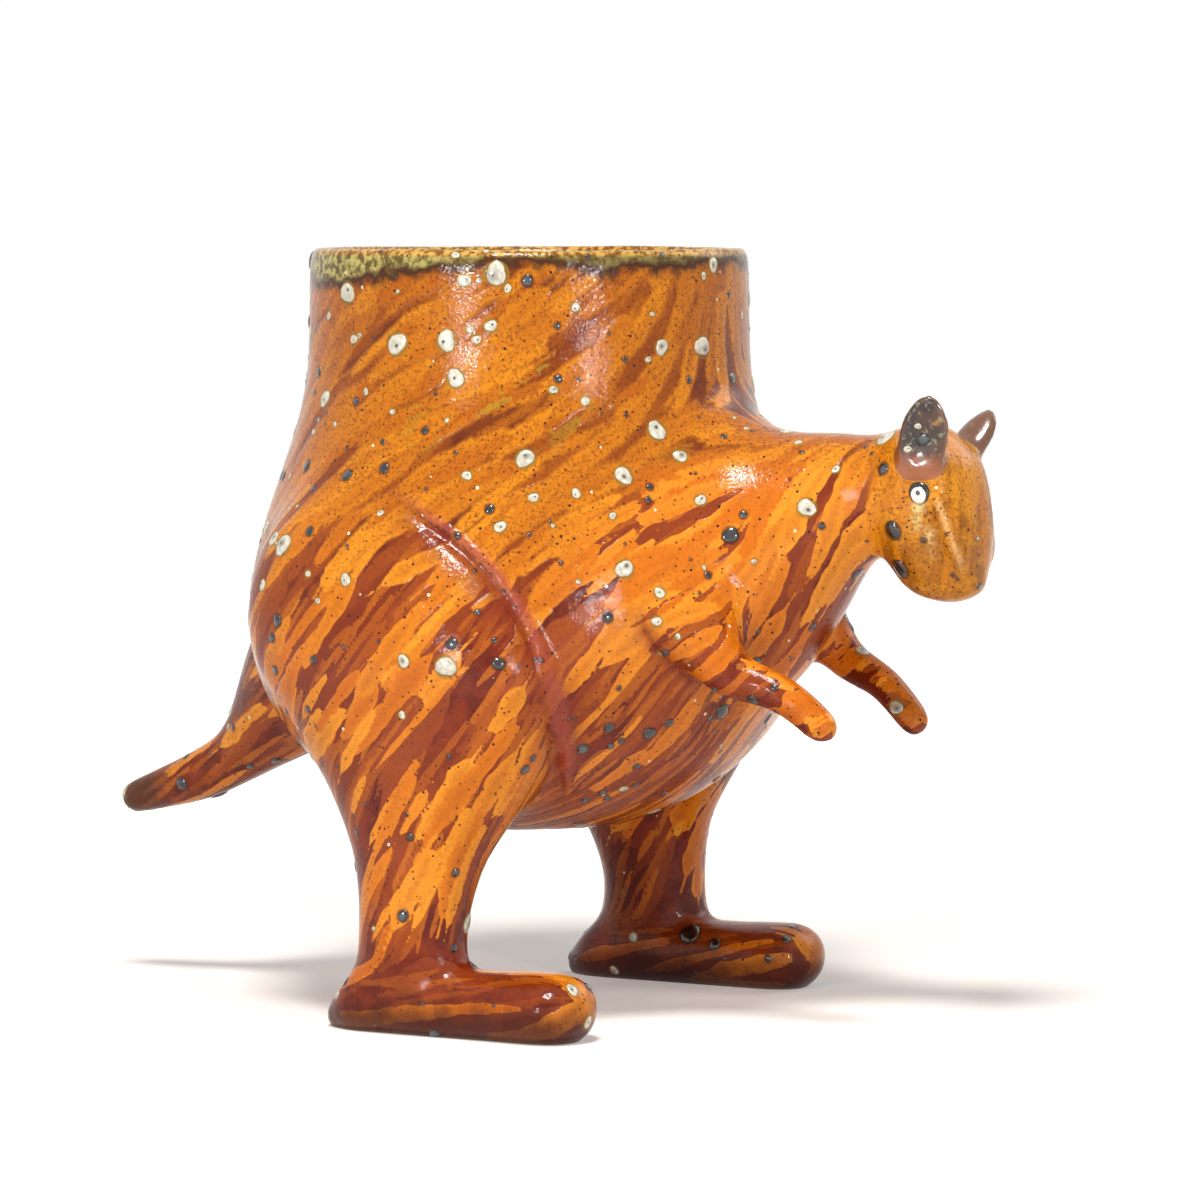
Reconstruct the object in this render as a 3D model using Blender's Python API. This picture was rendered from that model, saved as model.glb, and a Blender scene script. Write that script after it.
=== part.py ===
"""A stoneware tea cup in the shape of a standing wallaby.

The cup is thrown and turned, and the animal's head, limbs and tail are pressed
clay that is seated on it. Every seat is cut to the form that it rests on.
Lengths are in metres. The animal looks along +X and stands on z = 0.
"""

import math

import bmesh
import bpy
from mathutils import Vector

# The thrown cup, measured from its own axis
RIM_HEIGHT = 0.1218
RIM_RADIUS = 0.0349
WAIST_HEIGHT = 0.1066
WAIST_RADIUS = 0.0351
BELLY_HEIGHT = 0.0616
BELLY_RADIUS = 0.0449
BOWL_DEPTH = 0.0343
BASE_RADIUS = 0.0140
WALL = 0.0038
LIP_THICKNESS = 0.0031
FLOOR_THICKNESS = 0.0045
OUTER_WALL_STEPS = 15
OUTER_BOWL_STEPS = 9
INNER_WALL_STEPS = 11
INNER_BOWL_STEPS = 8
LIP_STEPS = 6

# The space between a seated piece and what it sits on
SEAT_GAP = 0.0003

# The hind legs, a haunch on each flank that narrows to the ankle
LEG_SPREAD = 0.0380
HAUNCH_TOP_HEIGHT = 0.0880
HAUNCH_TOP_X = -0.0101
HAUNCH_HEIGHT = 0.0585
HAUNCH_LENGTH = 0.0575
HAUNCH_X = -0.0028
HAUNCH_THICKNESS = 0.0330
HAUNCH_STAND_OUT = 0.0022
LEG_TURN_DEGREES = 6.0
HAUNCH_SQUARE = 2.7
HAUNCH_TAPER = 1.3
HAUNCH_TOP_ROUND = 0.0012
THIGH_HEIGHT = 0.0470
THIGH_LENGTH = 0.0478
THIGH_X = 0.0000
KNEE_HEIGHT = 0.0370
KNEE_LENGTH = 0.0350
KNEE_WIDTH = 0.0250
KNEE_X = 0.0016
KNEE_TUCK = 0.0046
SHIN_HEIGHT = 0.0268
SHIN_LENGTH = 0.0222
SHIN_WIDTH = 0.0185
SHIN_TUCK = 0.0018
ANKLE_HEIGHT = 0.0160
RIGHT_ANKLE_LENGTH = 0.0176
LEFT_ANKLE_LENGTH = 0.0170
ANKLE_WIDTH = 0.0160
RIGHT_ANKLE_X = 0.0011
LEFT_ANKLE_X = 0.0020
ANKLE_ROOT_HEIGHT = 0.0057
ANKLE_ROOT_WIDTH = 0.0127
ANKLE_ROOT_SPREAD = 0.0013

# The feet
HEEL_X = -0.0148
TOE_X = 0.0328
FOOT_HEIGHT = 0.0103
FOOT_WIDTH = 0.0138
TOE_WIDTH = 0.0152
TOE_ROUND = 0.0060
HEEL_ROUND = 0.0020
FOOT_SQUARE = 2.3
SOLE_CUT = 0.0012
BLOCK_SIZE = 0.3

# The tail, from its broad root on the back to the tip
TAIL_ROOT_X = -0.0440
TAIL_ROOT_HEIGHT = 0.0482
TAIL_ROOT_THICKNESS = 0.0220
TAIL_ROOT_SINK = 0.0060
TAIL_ROOT_RISE = 0.0050
TAIL_ROOT_ROUND = 0.0020
TAIL_BEND_X = -0.0535
TAIL_BEND_HEIGHT = 0.0388
TAIL_BEND_THICKNESS = 0.0110
TAIL_MIDDLE_X = -0.0628
TAIL_MIDDLE_HEIGHT = 0.0338
TAIL_MIDDLE_THICKNESS = 0.0086
TAIL_TIP_X = -0.0785
TAIL_TIP_HEIGHT = 0.0290
TAIL_TIP_THICKNESS = 0.0060

# The chest and neck
NECK_TOP_HEIGHT = 0.0927
NECK_X = 0.0600
NECK_DEPTH = 0.0212
NECK_WIDTH = 0.0184
CHEST_X = 0.0480
CHEST_DEPTH = 0.0390
CHEST_WIDTH = 0.0290
CHEST_ROOT_SINK = 0.0060
CHEST_SWELL_LENGTH = 0.0060
CHEST_ROUND = 0.0020
NECK_ROUND = 0.0050

# The head
HEAD_TOP_HEIGHT = 0.0945
CHIN_HEIGHT = 0.0655
BROW_X = 0.0700
BROW_LENGTH = 0.0192
BROW_WIDTH = 0.0188
CHEEK_X = 0.0713
CHEEK_LENGTH = 0.0190
CHEEK_WIDTH = 0.0168
MUZZLE_X = 0.0738
MUZZLE_LENGTH = 0.0142
MUZZLE_WIDTH = 0.0116
CROWN_ROUND = 0.0020
CHIN_ROUND = 0.0046

# The ears, of which the left one lies further out
RIGHT_EAR_X = 0.0737
LEFT_EAR_X = 0.0727
EAR_Y = 0.0080
EAR_BELOW_CROWN = 0.0060
RIGHT_EAR_LENGTH = 0.0118
LEFT_EAR_LENGTH = 0.0100
EAR_WIDTH = 0.0082
EAR_TURN_DEGREES = 6.0
EAR_THICKNESS = 0.0032
EAR_LEAN_FORWARD = 0.0026
RIGHT_EAR_LEAN_OUT = 0.0030
LEFT_EAR_LEAN_OUT = 0.0050
EAR_HOLLOW_DEPTH = 0.0009
EAR_ROOT_ROUND = 0.0010
EAR_TIP_ROUND = 0.0011
EAR_HOLLOW_ROUND = 0.0008

# The eyes, a bead of glaze on each side of the head
EYE_X = 0.0735
EYE_BELOW_CROWN = 0.0104
EYE_WIDTH = 0.0030
EYE_STAND_OUT = 0.0009
EYE_ROOT_DEPTH = 0.0012

# The arms, whose shoulders lie on the cup at an angle from straight ahead
SHOULDER_DEGREES = 27.0
SHOULDER_HEIGHT = 0.0665
SHOULDER_RISE = 0.0012
SHOULDER_LENGTH = 0.0172
SHOULDER_TOP_RISE = 0.0045
SHOULDER_TOP_TUCK = 0.0020
SHOULDER_ROUND = 0.0025
UPPER_ARM_THICKNESS = 0.0082
ELBOW_X = 0.0460
ELBOW_Y = 0.0196
ELBOW_HEIGHT = 0.0556
ELBOW_LENGTH = 0.0090
ELBOW_THICKNESS = 0.0074
FOREARM_THICKNESS = 0.0060
PAW_X = 0.0609
PAW_Y = 0.0170
PAW_HEIGHT = 0.0472
PAW_THICKNESS = 0.0058
WRIST_LIFT = 0.0012
# The right paw is held a little higher and further forward than the left.
PAW_OFFSET = 0.0007

SIDES = 20
BROAD_SIDES = 24
ARM_SIDES = 18
SMALL_SIDES = 14
DOME_RINGS = 3
CUP_SEGMENTS = 54
RIGHT = -1
LEFT = 1
AXIS_X = Vector((1, 0, 0))
AXIS_Y = Vector((0, 1, 0))
AXIS_Z = Vector((0, 0, 1))


def clear_scene():
    for obj in list(bpy.data.objects):
        bpy.data.objects.remove(obj, do_unlink=True)


def make_material(name, colour, roughness):
    """A glazed or bare stoneware surface."""
    material = bpy.data.materials.new(name)
    material.use_nodes = True
    shader = material.node_tree.nodes["Principled BSDF"]
    shader.inputs["Base Color"].default_value = (*colour, 1.0)
    shader.inputs["Roughness"].default_value = roughness
    shader.inputs["Metallic"].default_value = 0.0
    return material


def add_object(name, mesh, material):
    obj = bpy.data.objects.new(name, mesh)
    bpy.context.scene.collection.objects.link(obj)
    mesh.materials.append(material)
    mesh.shade_smooth()
    return obj


def hide_cutter(obj):
    obj.hide_render = True
    obj.display_type = "WIRE"


def cut(obj, cutter):
    """Takes the cutter's form out of the object."""
    modifier = obj.modifiers.new("seat_" + cutter.name, "BOOLEAN")
    modifier.operation = "DIFFERENCE"
    modifier.object = cutter
    modifier.solver = "EXACT"


def cup_skin_radius(height, grow=0.0):
    """The outer radius of the cup at a height, with its skin moved out by grow."""
    if height >= WAIST_HEIGHT:
        share = (height - WAIST_HEIGHT) / (RIM_HEIGHT - WAIST_HEIGHT)
        return grow + WAIST_RADIUS + (RIM_RADIUS - WAIST_RADIUS) * min(share, 1.0)
    if height >= BELLY_HEIGHT:
        turn = math.pi * (height - BELLY_HEIGHT) / (WAIST_HEIGHT - BELLY_HEIGHT)
        fall = (BELLY_RADIUS - WAIST_RADIUS) * (1 - math.cos(turn)) / 2
        return grow + BELLY_RADIUS - fall
    drop = (BELLY_HEIGHT - height) / (BOWL_DEPTH + grow)
    return (BELLY_RADIUS + grow) * math.sqrt(max(0.0, 1 - drop * drop))


def bowl_points(radius, depth, start_radius, count):
    """A quarter ellipse from a radius near the axis up to the belly."""
    first = math.asin(start_radius / radius)
    turns = [first + (math.pi / 2 - first) * i / count for i in range(count)]
    return [(radius * math.sin(t), BELLY_HEIGHT - depth * math.cos(t)) for t in turns]


def outer_outline(grow=0.0):
    """Radius and height down the outside, from under the lip to the base's edge."""
    wall_top = RIM_HEIGHT - LIP_THICKNESS / 2
    drop = (wall_top - BELLY_HEIGHT) / OUTER_WALL_STEPS
    heights = [wall_top - drop * i for i in range(OUTER_WALL_STEPS + 1)]
    wall = [(cup_skin_radius(h, grow), h) for h in heights]
    bowl = bowl_points(BELLY_RADIUS + grow, BOWL_DEPTH + grow, BASE_RADIUS, OUTER_BOWL_STEPS)
    return wall + bowl[::-1]


def turned(name, outline, material):
    """A solid turned round the cup's axis from an outline of radius and height."""
    mesh = bpy.data.meshes.new(name)
    edges = [(i, i + 1) for i in range(len(outline) - 1)]
    mesh.from_pydata([(r, 0, z) for r, z in outline], edges, [])
    obj = add_object(name, mesh, material)
    screw = obj.modifiers.new("turning", "SCREW")
    screw.axis = "Z"
    screw.steps = CUP_SEGMENTS
    screw.render_steps = CUP_SEGMENTS
    screw.use_merge_vertices = True
    screw.merge_threshold = 0.00001
    screw.use_smooth_shade = True
    return obj


def make_cup(material):
    """The thrown cup: inside from the floor up, over the round lip, and down."""
    base_height = outer_outline()[-1][1]
    floor_height = base_height + FLOOR_THICKNESS
    inner_depth = BELLY_HEIGHT - floor_height
    inner_radius = BELLY_RADIUS - WALL
    wall_top = RIM_HEIGHT - LIP_THICKNESS / 2
    inside = bowl_points(inner_radius, inner_depth, 0.0, INNER_BOWL_STEPS)
    for i in range(INNER_WALL_STEPS + 1):
        share = i / INNER_WALL_STEPS
        height = BELLY_HEIGHT + (wall_top - BELLY_HEIGHT) * share
        wall = WALL + (LIP_THICKNESS - WALL) * share
        inside.append((cup_skin_radius(height) - wall, height))
    lip_middle = RIM_RADIUS - LIP_THICKNESS / 2
    lip = []
    for i in range(1, LIP_STEPS):
        turn = math.pi * (1 - i / LIP_STEPS)
        lip.append((lip_middle + math.cos(turn) * LIP_THICKNESS / 2,
                    wall_top + math.sin(turn) * LIP_THICKNESS / 2))
    outline = inside + lip + outer_outline() + [(0.0, base_height)]
    return turned("cup_body", outline, material)


def cup_cutter(material):
    """The cup's outer form as a full solid, moved out by the seat gap."""
    outline = outer_outline(SEAT_GAP)
    outline = [(0.0, outline[0][1])] + outline + [(0.0, outline[-1][1])]
    cutter = turned("cup_seat", outline, material)
    hide_cutter(cutter)
    return cutter


def smooth_row(rows, share):
    """A row of values on the smooth curve through the rows, at a share of its run."""
    place = share * (len(rows) - 1)
    i = min(int(place), len(rows) - 2)
    t = place - i
    before = rows[max(i - 1, 0)]
    after = rows[min(i + 2, len(rows) - 1)]
    values = []
    for p0, p1, p2, p3 in zip(before, rows[i], rows[i + 1], after):
        slope = (p2 - p0) / 2
        next_slope = (p3 - p1) / 2
        values.append((2 * t**3 - 3 * t**2 + 1) * p1 + (t**3 - 2 * t**2 + t) * slope
                      + (3 * t**2 - 2 * t**3) * p2 + (t**3 - t**2) * next_slope)
    return values


def section_frames(rows, across, up):
    """The two directions of each section's plane, square to the path if up is None."""
    frames = []
    for i, row in enumerate(rows):
        if up is not None:
            frames.append((across, up))
            continue
        ahead = Vector(rows[min(i + 1, len(rows) - 1)][:3])
        way = (ahead - Vector(rows[max(i - 1, 0)][:3])).normalized()
        side = (across - way * across.dot(way)).normalized()
        frames.append((side, way.cross(side)))
    return frames


def dome_rings(ring, reach):
    """The rings that round off an end over the way it reaches past its last ring."""
    centre, half_across, half_up, *shape = ring
    rings = []
    for i in range(1, DOME_RINGS + 1):
        turn = math.pi / 2 * i / (DOME_RINGS + 1)
        shrink = math.cos(turn)
        rings.append((centre + reach * math.sin(turn), half_across * shrink,
                      half_up * shrink, *shape))
    return rings


def loft(name, sections, across, up, material, steps, start_dome, end_dome, grow=0.0,
         sides=SIDES):
    """A closed form through sections of (x, y, z, half across, half up, square).

    Each section is a rounded outline in the plane of the two given directions, or
    square to the path where up is None. Its square is 2 for an ellipse, and more for
    fuller corners. The domes round off the ends over the given lengths.
    """
    count = (len(sections) - 1) * steps
    rows = [smooth_row(sections, i / count) for i in range(count + 1)]
    start_way = (Vector(rows[0][:3]) - Vector(rows[1][:3])).normalized()
    end_way = (Vector(rows[-1][:3]) - Vector(rows[-2][:3])).normalized()
    frames = section_frames(rows, across, up)
    rings = [(Vector(row[:3]), *row[3:6], *frame) for row, frame in zip(rows, frames)]
    rings = dome_rings(rings[0], start_way * start_dome)[::-1] + rings
    rings = rings + dome_rings(rings[-1], end_way * end_dome)
    start_pole = Vector(rows[0][:3]) + start_way * (start_dome + grow)
    end_pole = Vector(rows[-1][:3]) + end_way * (end_dome + grow)
    mesh = bpy.data.meshes.new(name)
    bm = bmesh.new()
    loops = []
    for centre, half_across, half_up, square, side_way, up_way in rings:
        loop = []
        for i in range(sides):
            turn = 2 * math.pi * i / sides
            c, s = math.cos(turn), math.sin(turn)
            power = 2 / square
            side = math.copysign(abs(c) ** power, c) * (half_across + grow)
            rise = math.copysign(abs(s) ** power, s) * (half_up + grow)
            loop.append(bm.verts.new(centre + side_way * side + up_way * rise))
        loops.append(loop)
    for low, high in zip(loops, loops[1:]):
        for i in range(sides):
            j = (i + 1) % sides
            bm.faces.new((low[i], low[j], high[j], high[i]))
    first = bm.verts.new(start_pole)
    last = bm.verts.new(end_pole)
    for i in range(sides):
        j = (i + 1) % sides
        bm.faces.new((first, loops[0][j], loops[0][i]))
        bm.faces.new((last, loops[-1][i], loops[-1][j]))
    bmesh.ops.recalc_face_normals(bm, faces=bm.faces)
    bm.to_mesh(mesh)
    bm.free()
    return add_object(name, mesh, material)


def leg_sections(side):
    """From the top of the haunch down to the ankle, which stands in the foot."""
    rows = []
    half_thick = HAUNCH_THICKNESS / 2
    for degrees in (74, 54, 28, 0):
        turn = math.radians(degrees)
        rise = math.sin(turn)
        height = HAUNCH_HEIGHT + (HAUNCH_TOP_HEIGHT - HAUNCH_HEIGHT) * rise
        skin = cup_skin_radius(height) + HAUNCH_STAND_OUT * (2 + 3 * math.cos(turn)) / 5
        rows.append((HAUNCH_X + (HAUNCH_TOP_X - HAUNCH_X) * rise, side * (skin - half_thick),
                     height, half_thick, HAUNCH_LENGTH / 2 * math.cos(turn) ** HAUNCH_TAPER,
                     HAUNCH_SQUARE))
    haunch_middle = cup_skin_radius(HAUNCH_HEIGHT) + HAUNCH_STAND_OUT - half_thick
    knee_middle = LEG_SPREAD - KNEE_TUCK
    half_ankle = (RIGHT_ANKLE_LENGTH if side == RIGHT else LEFT_ANKLE_LENGTH) / 2
    ankle_x = RIGHT_ANKLE_X if side == RIGHT else LEFT_ANKLE_X
    rows.append((THIGH_X, side * (haunch_middle + knee_middle) / 2, THIGH_HEIGHT,
                 (HAUNCH_THICKNESS + KNEE_WIDTH) / 4, THIGH_LENGTH / 2,
                 (HAUNCH_SQUARE + 2) / 2))
    rows.append((KNEE_X, side * knee_middle, KNEE_HEIGHT, KNEE_WIDTH / 2, KNEE_LENGTH / 2,
                 2.0))
    rows.append(((KNEE_X + ankle_x) / 2, side * (LEG_SPREAD - SHIN_TUCK), SHIN_HEIGHT,
                 SHIN_WIDTH / 2, SHIN_LENGTH / 2, 2.0))
    rows.append((ankle_x, side * LEG_SPREAD, ANKLE_HEIGHT, ANKLE_WIDTH / 2, half_ankle, 2.0))
    rows.append((ankle_x, side * LEG_SPREAD, ANKLE_ROOT_HEIGHT, ANKLE_ROOT_WIDTH / 2,
                 half_ankle + ANKLE_ROOT_SPREAD, 2.0))
    return rows


def make_leg(name, side, material, cutters):
    """A leg whose haunch lies close to the cup behind and stands out in front."""
    turn = math.radians(LEG_TURN_DEGREES) * side
    across = Vector((-math.sin(turn), math.cos(turn), 0))
    ahead = Vector((math.cos(turn), math.sin(turn), 0))
    leg = loft(name, leg_sections(side), across, ahead, material, 3, HAUNCH_TOP_ROUND, 0.0,
               sides=BROAD_SIDES)
    for cutter in cutters:
        cut(leg, cutter)
    return leg


def foot_form(name, side, material, grow=0.0):
    """A foot along X: a low heel, a level instep and a round toe."""
    start = HEEL_X + HEEL_ROUND
    length = TOE_X - TOE_ROUND - start
    rows = []
    for share, width, height in ((0.0, FOOT_WIDTH * 0.45, 0.50), (0.14, FOOT_WIDTH * 0.92, 0.92),
                                 (0.38, FOOT_WIDTH, 1.0), (0.65, FOOT_WIDTH, 0.97),
                                 (1.0, TOE_WIDTH, 1.02)):
        rows.append((start + share * length, side * LEG_SPREAD,
                     (FOOT_HEIGHT - SOLE_CUT) / 2 * height, width / 2,
                     (FOOT_HEIGHT + SOLE_CUT) / 2 * height, FOOT_SQUARE))
    return loft(name, rows, AXIS_Y, AXIS_Z, material, 3, HEEL_ROUND, TOE_ROUND, grow=grow)


def make_floor_cutter(material):
    """A block whose top is the plane that the soles are cut to."""
    bpy.ops.mesh.primitive_cube_add(size=BLOCK_SIZE, location=(0, 0, -BLOCK_SIZE / 2))
    block = bpy.context.object
    block.name = "sole_plane"
    block.data.materials.append(material)
    hide_cutter(block)
    return block


def make_tail(material, cutters):
    """The tail, which leaves the back broadly, bends and tapers to a round tip."""
    half_root = TAIL_ROOT_THICKNESS / 2
    half_bend = TAIL_BEND_THICKNESS / 2
    half_middle = TAIL_MIDDLE_THICKNESS / 2
    half_tip = TAIL_TIP_THICKNESS / 2
    rows = [
        (TAIL_ROOT_X + TAIL_ROOT_SINK, 0, TAIL_ROOT_HEIGHT + TAIL_ROOT_RISE,
         half_root * 1.15, half_root * 1.35, 2.0),
        (TAIL_ROOT_X, 0, TAIL_ROOT_HEIGHT, half_root * 0.9, half_root, 2.0),
        (TAIL_BEND_X, 0, TAIL_BEND_HEIGHT, half_bend, half_bend, 2.0),
        (TAIL_MIDDLE_X, 0, TAIL_MIDDLE_HEIGHT, half_middle, half_middle, 2.0),
        (TAIL_TIP_X + half_tip, 0, TAIL_TIP_HEIGHT, half_tip, half_tip, 2.0),
    ]
    tail = loft("tail", rows, AXIS_Y, None, material, 4, TAIL_ROOT_ROUND, half_tip)
    for cutter in cutters:
        cut(tail, cutter)
    return tail


def neck_form(name, material, grow=0.0):
    """The chest and neck along X, level on top and rising under the throat."""
    root_x = cup_skin_radius(NECK_TOP_HEIGHT) - CHEST_ROOT_SINK
    rows = [
        (root_x, 0, NECK_TOP_HEIGHT - CHEST_DEPTH * 0.58, CHEST_WIDTH * 0.62,
         CHEST_DEPTH * 0.68, 2.0),
        (CHEST_X - CHEST_SWELL_LENGTH, 0, NECK_TOP_HEIGHT - CHEST_DEPTH * 0.56, CHEST_WIDTH * 0.57,
         CHEST_DEPTH * 0.58, 2.0),
        (CHEST_X, 0, NECK_TOP_HEIGHT - CHEST_DEPTH / 2, CHEST_WIDTH / 2, CHEST_DEPTH / 2,
         2.0),
        ((CHEST_X + NECK_X) / 2, 0, NECK_TOP_HEIGHT - (CHEST_DEPTH + NECK_DEPTH) / 4,
         (CHEST_WIDTH + NECK_WIDTH) / 4, (CHEST_DEPTH + NECK_DEPTH) / 4, 2.0),
        (NECK_X, 0, NECK_TOP_HEIGHT - NECK_DEPTH / 2, NECK_WIDTH / 2, NECK_DEPTH / 2, 2.0),
    ]
    return loft(name, rows, AXIS_Y, AXIS_Z, material, 4, CHEST_ROUND, NECK_ROUND, grow=grow,
                sides=BROAD_SIDES)


def head_form(name, material, grow=0.0):
    """The head along Z, deep at the brow and narrowing to the muzzle."""
    start = HEAD_TOP_HEIGHT - CROWN_ROUND
    fall = start - CHIN_HEIGHT - CHIN_ROUND
    rows = []
    for share, x, width, length, square in (
            (0.0, BROW_X, BROW_WIDTH * 0.68, BROW_LENGTH * 0.64, 2.1),
            (0.17, BROW_X, BROW_WIDTH * 0.92, BROW_LENGTH * 0.90, 2.1),
            (0.38, BROW_X, BROW_WIDTH, BROW_LENGTH, 2.1),
            (0.71, CHEEK_X, CHEEK_WIDTH, CHEEK_LENGTH, 2.2),
            (1.0, MUZZLE_X, MUZZLE_WIDTH, MUZZLE_LENGTH, 2.2)):
        rows.append((x, 0, start - share * fall, width / 2, length / 2, square))
    return loft(name, rows, AXIS_Y, AXIS_X, material, 3, CROWN_ROUND, CHIN_ROUND, grow=grow)


def make_ear(word, side, material, hollow_material, cutters):
    """A leaf that leans forward and out, with a shallow hollow on its outer face."""
    length = RIGHT_EAR_LENGTH if side == RIGHT else LEFT_EAR_LENGTH
    lean_out = RIGHT_EAR_LEAN_OUT if side == RIGHT else LEFT_EAR_LEAN_OUT
    root_x = RIGHT_EAR_X if side == RIGHT else LEFT_EAR_X
    rise = math.sqrt(length**2 - EAR_LEAN_FORWARD**2 - lean_out**2)
    way = Vector((EAR_LEAN_FORWARD, side * lean_out, rise))
    turn = math.radians(EAR_TURN_DEGREES)
    broad = Vector((math.cos(turn), -side * math.sin(turn), 0))
    outward = broad.cross(way).normalized() * -side
    base = Vector((root_x, side * EAR_Y, HEAD_TOP_HEIGHT - EAR_BELOW_CROWN))
    rows = []
    for share, width, depth in ((-0.14, 0.72, 0.95), (0.25, 0.98, 1.0), (0.62, 0.90, 0.9),
                                (0.90, 0.50, 0.65)):
        spot = base + way * share
        rows.append((*spot, EAR_THICKNESS / 2 * depth, EAR_WIDTH / 2 * width, 2.0))
    ear = loft(word + "_ear", rows, outward, broad, material, 3, EAR_ROOT_ROUND,
               EAR_TIP_ROUND, sides=SMALL_SIDES)
    hollow_rows = []
    for share, width in ((0.14, 0.52), (0.42, 0.74), (0.76, 0.50)):
        spot = base + way * share + outward * (EAR_THICKNESS - EAR_HOLLOW_DEPTH)
        hollow_rows.append((*spot, EAR_THICKNESS / 2, EAR_WIDTH / 2 * width, 2.0))
    hollow = loft(word + "_ear_hollow", hollow_rows, outward, broad, hollow_material, 2,
                  EAR_HOLLOW_ROUND, EAR_HOLLOW_ROUND, sides=SMALL_SIDES)
    hide_cutter(hollow)
    for cutter in cutters + [hollow]:
        cut(ear, cutter)
    return ear


def make_eye(name, side, material, cutters):
    """A low round bead that is set on the side of the head."""
    half = EYE_WIDTH / 2
    height = HEAD_TOP_HEIGHT - EYE_BELOW_CROWN
    forward = (EYE_X - BROW_X) / (BROW_LENGTH / 2)
    head_side = BROW_WIDTH / 2 * math.sqrt(1 - forward**2)
    rows = [
        (EYE_X, side * (head_side - EYE_ROOT_DEPTH), height, half, half, 2.0),
        (EYE_X, side * (head_side + EYE_STAND_OUT / 3), height, half, half, 2.0),
    ]
    eye = loft(name, rows, AXIS_X, AXIS_Z, material, 2, 0.0, EYE_STAND_OUT * 2 / 3,
               sides=SMALL_SIDES)
    for cutter in cutters:
        cut(eye, cutter)
    return eye


def make_arm(name, side, material, cutters):
    """A flat upper arm on the chest, a bent elbow and a round forearm and paw."""
    paw = Vector((PAW_X - side * PAW_OFFSET, side * PAW_Y, PAW_HEIGHT - side * PAW_OFFSET))
    elbow = Vector((ELBOW_X, side * ELBOW_Y, ELBOW_HEIGHT))
    turn = math.radians(SHOULDER_DEGREES) * side
    outward = Vector((math.cos(turn), math.sin(turn), 0))
    reach = cup_skin_radius(SHOULDER_HEIGHT) + SHOULDER_RISE
    shoulder = outward * reach + AXIS_Z * SHOULDER_HEIGHT
    top = outward * (reach - SHOULDER_TOP_TUCK)
    top += AXIS_Z * (SHOULDER_HEIGHT + SHOULDER_TOP_RISE)
    half_upper = UPPER_ARM_THICKNESS / 2
    half_fore = FOREARM_THICKNESS / 2
    half_shoulder = SHOULDER_LENGTH / 2
    half_elbow = ELBOW_LENGTH / 2
    middle = (shoulder + elbow) / 2
    below_elbow = elbow * 0.76 + paw * 0.24
    wrist = elbow * 0.38 + paw * 0.62 + AXIS_Z * WRIST_LIFT
    rows = [
        (*top, half_upper * 0.85, half_shoulder * 0.85, 2.0),
        (*shoulder, half_upper, half_shoulder, 2.0),
        (*middle, half_upper, (half_shoulder + half_elbow) / 2, 2.0),
        (*elbow, ELBOW_THICKNESS / 2, half_elbow, 2.0),
        (*below_elbow, (ELBOW_THICKNESS / 2 + half_fore) / 2, (half_elbow + half_fore) / 2, 2.0),
        (*wrist, half_fore, half_fore, 2.0),
        (*paw, PAW_THICKNESS / 2, PAW_THICKNESS / 2, 2.0),
    ]
    arm = loft(name, rows, outward, None, material, 3, SHOULDER_ROUND, PAW_THICKNESS / 2,
               sides=ARM_SIDES)
    for cutter in cutters:
        cut(arm, cutter)
    return arm


def stand_at_origin(head, tail):
    """Moves everything along X so that the middle of nose to tail is at X = 0."""
    nose = max(vertex.co.x for vertex in head.data.vertices)
    tip = min(vertex.co.x for vertex in tail.data.vertices)
    stand = bpy.data.objects.new("stand", None)
    bpy.context.scene.collection.objects.link(stand)
    for obj in bpy.data.objects:
        if obj.type == "MESH":
            obj.parent = stand
    stand.location.x = -(nose + tip) / 2


def main():
    clear_scene()
    glaze = make_material("ochre_glaze", (0.62, 0.22, 0.05), 0.25)
    dark_glaze = make_material("dark_glaze", (0.09, 0.05, 0.03), 0.20)
    white_glaze = make_material("white_glaze", (0.80, 0.77, 0.68), 0.25)
    bare = make_material("seat_guide", (0.5, 0.5, 0.5), 0.6)

    make_cup(glaze)
    cup_seat = cup_cutter(bare)
    floor = make_floor_cutter(bare)
    neck_seat = neck_form("neck_seat", bare, SEAT_GAP)
    head_seat = head_form("head_seat", bare, SEAT_GAP)
    hide_cutter(neck_seat)
    hide_cutter(head_seat)

    neck = neck_form("neck", glaze)
    cut(neck, cup_seat)
    head = head_form("head", glaze)
    cut(head, neck_seat)
    tail = make_tail(glaze, [cup_seat])
    for side, word in ((RIGHT, "right"), (LEFT, "left")):
        foot_seat = foot_form(word + "_foot_seat", side, bare, SEAT_GAP)
        hide_cutter(foot_seat)
        foot = foot_form(word + "_foot", side, glaze)
        cut(foot, floor)
        make_leg(word + "_leg", side, glaze, [cup_seat, foot_seat])
        make_arm(word + "_arm", side, glaze, [cup_seat, neck_seat])
        make_ear(word, side, dark_glaze, bare, [head_seat])
        make_eye(word + "_eye", side, white_glaze, [head_seat])
    stand_at_origin(head, tail)


main()
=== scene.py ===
# %% [markdown]
# # A glazed stoneware cup in the shape of a wallaby
# The real cup is thrown on a wheel and turned. The legs, feet, tail, neck, head, arms and
# ears are formed by hand and luted on with slip, so that everything is one clay body when
# it is fired. This lesson builds each form from a primitive, lets them grow together as wet
# clay does, and then parts them again along the luted seams, so that every piece of the
# animal stays a piece of its own.

# %% Load the frame
import math
import random

import bmesh
import bpy
import numpy as np
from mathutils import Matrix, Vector, noise
from mathutils.bvhtree import BVHTree
from mathutils.kdtree import KDTree


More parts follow.
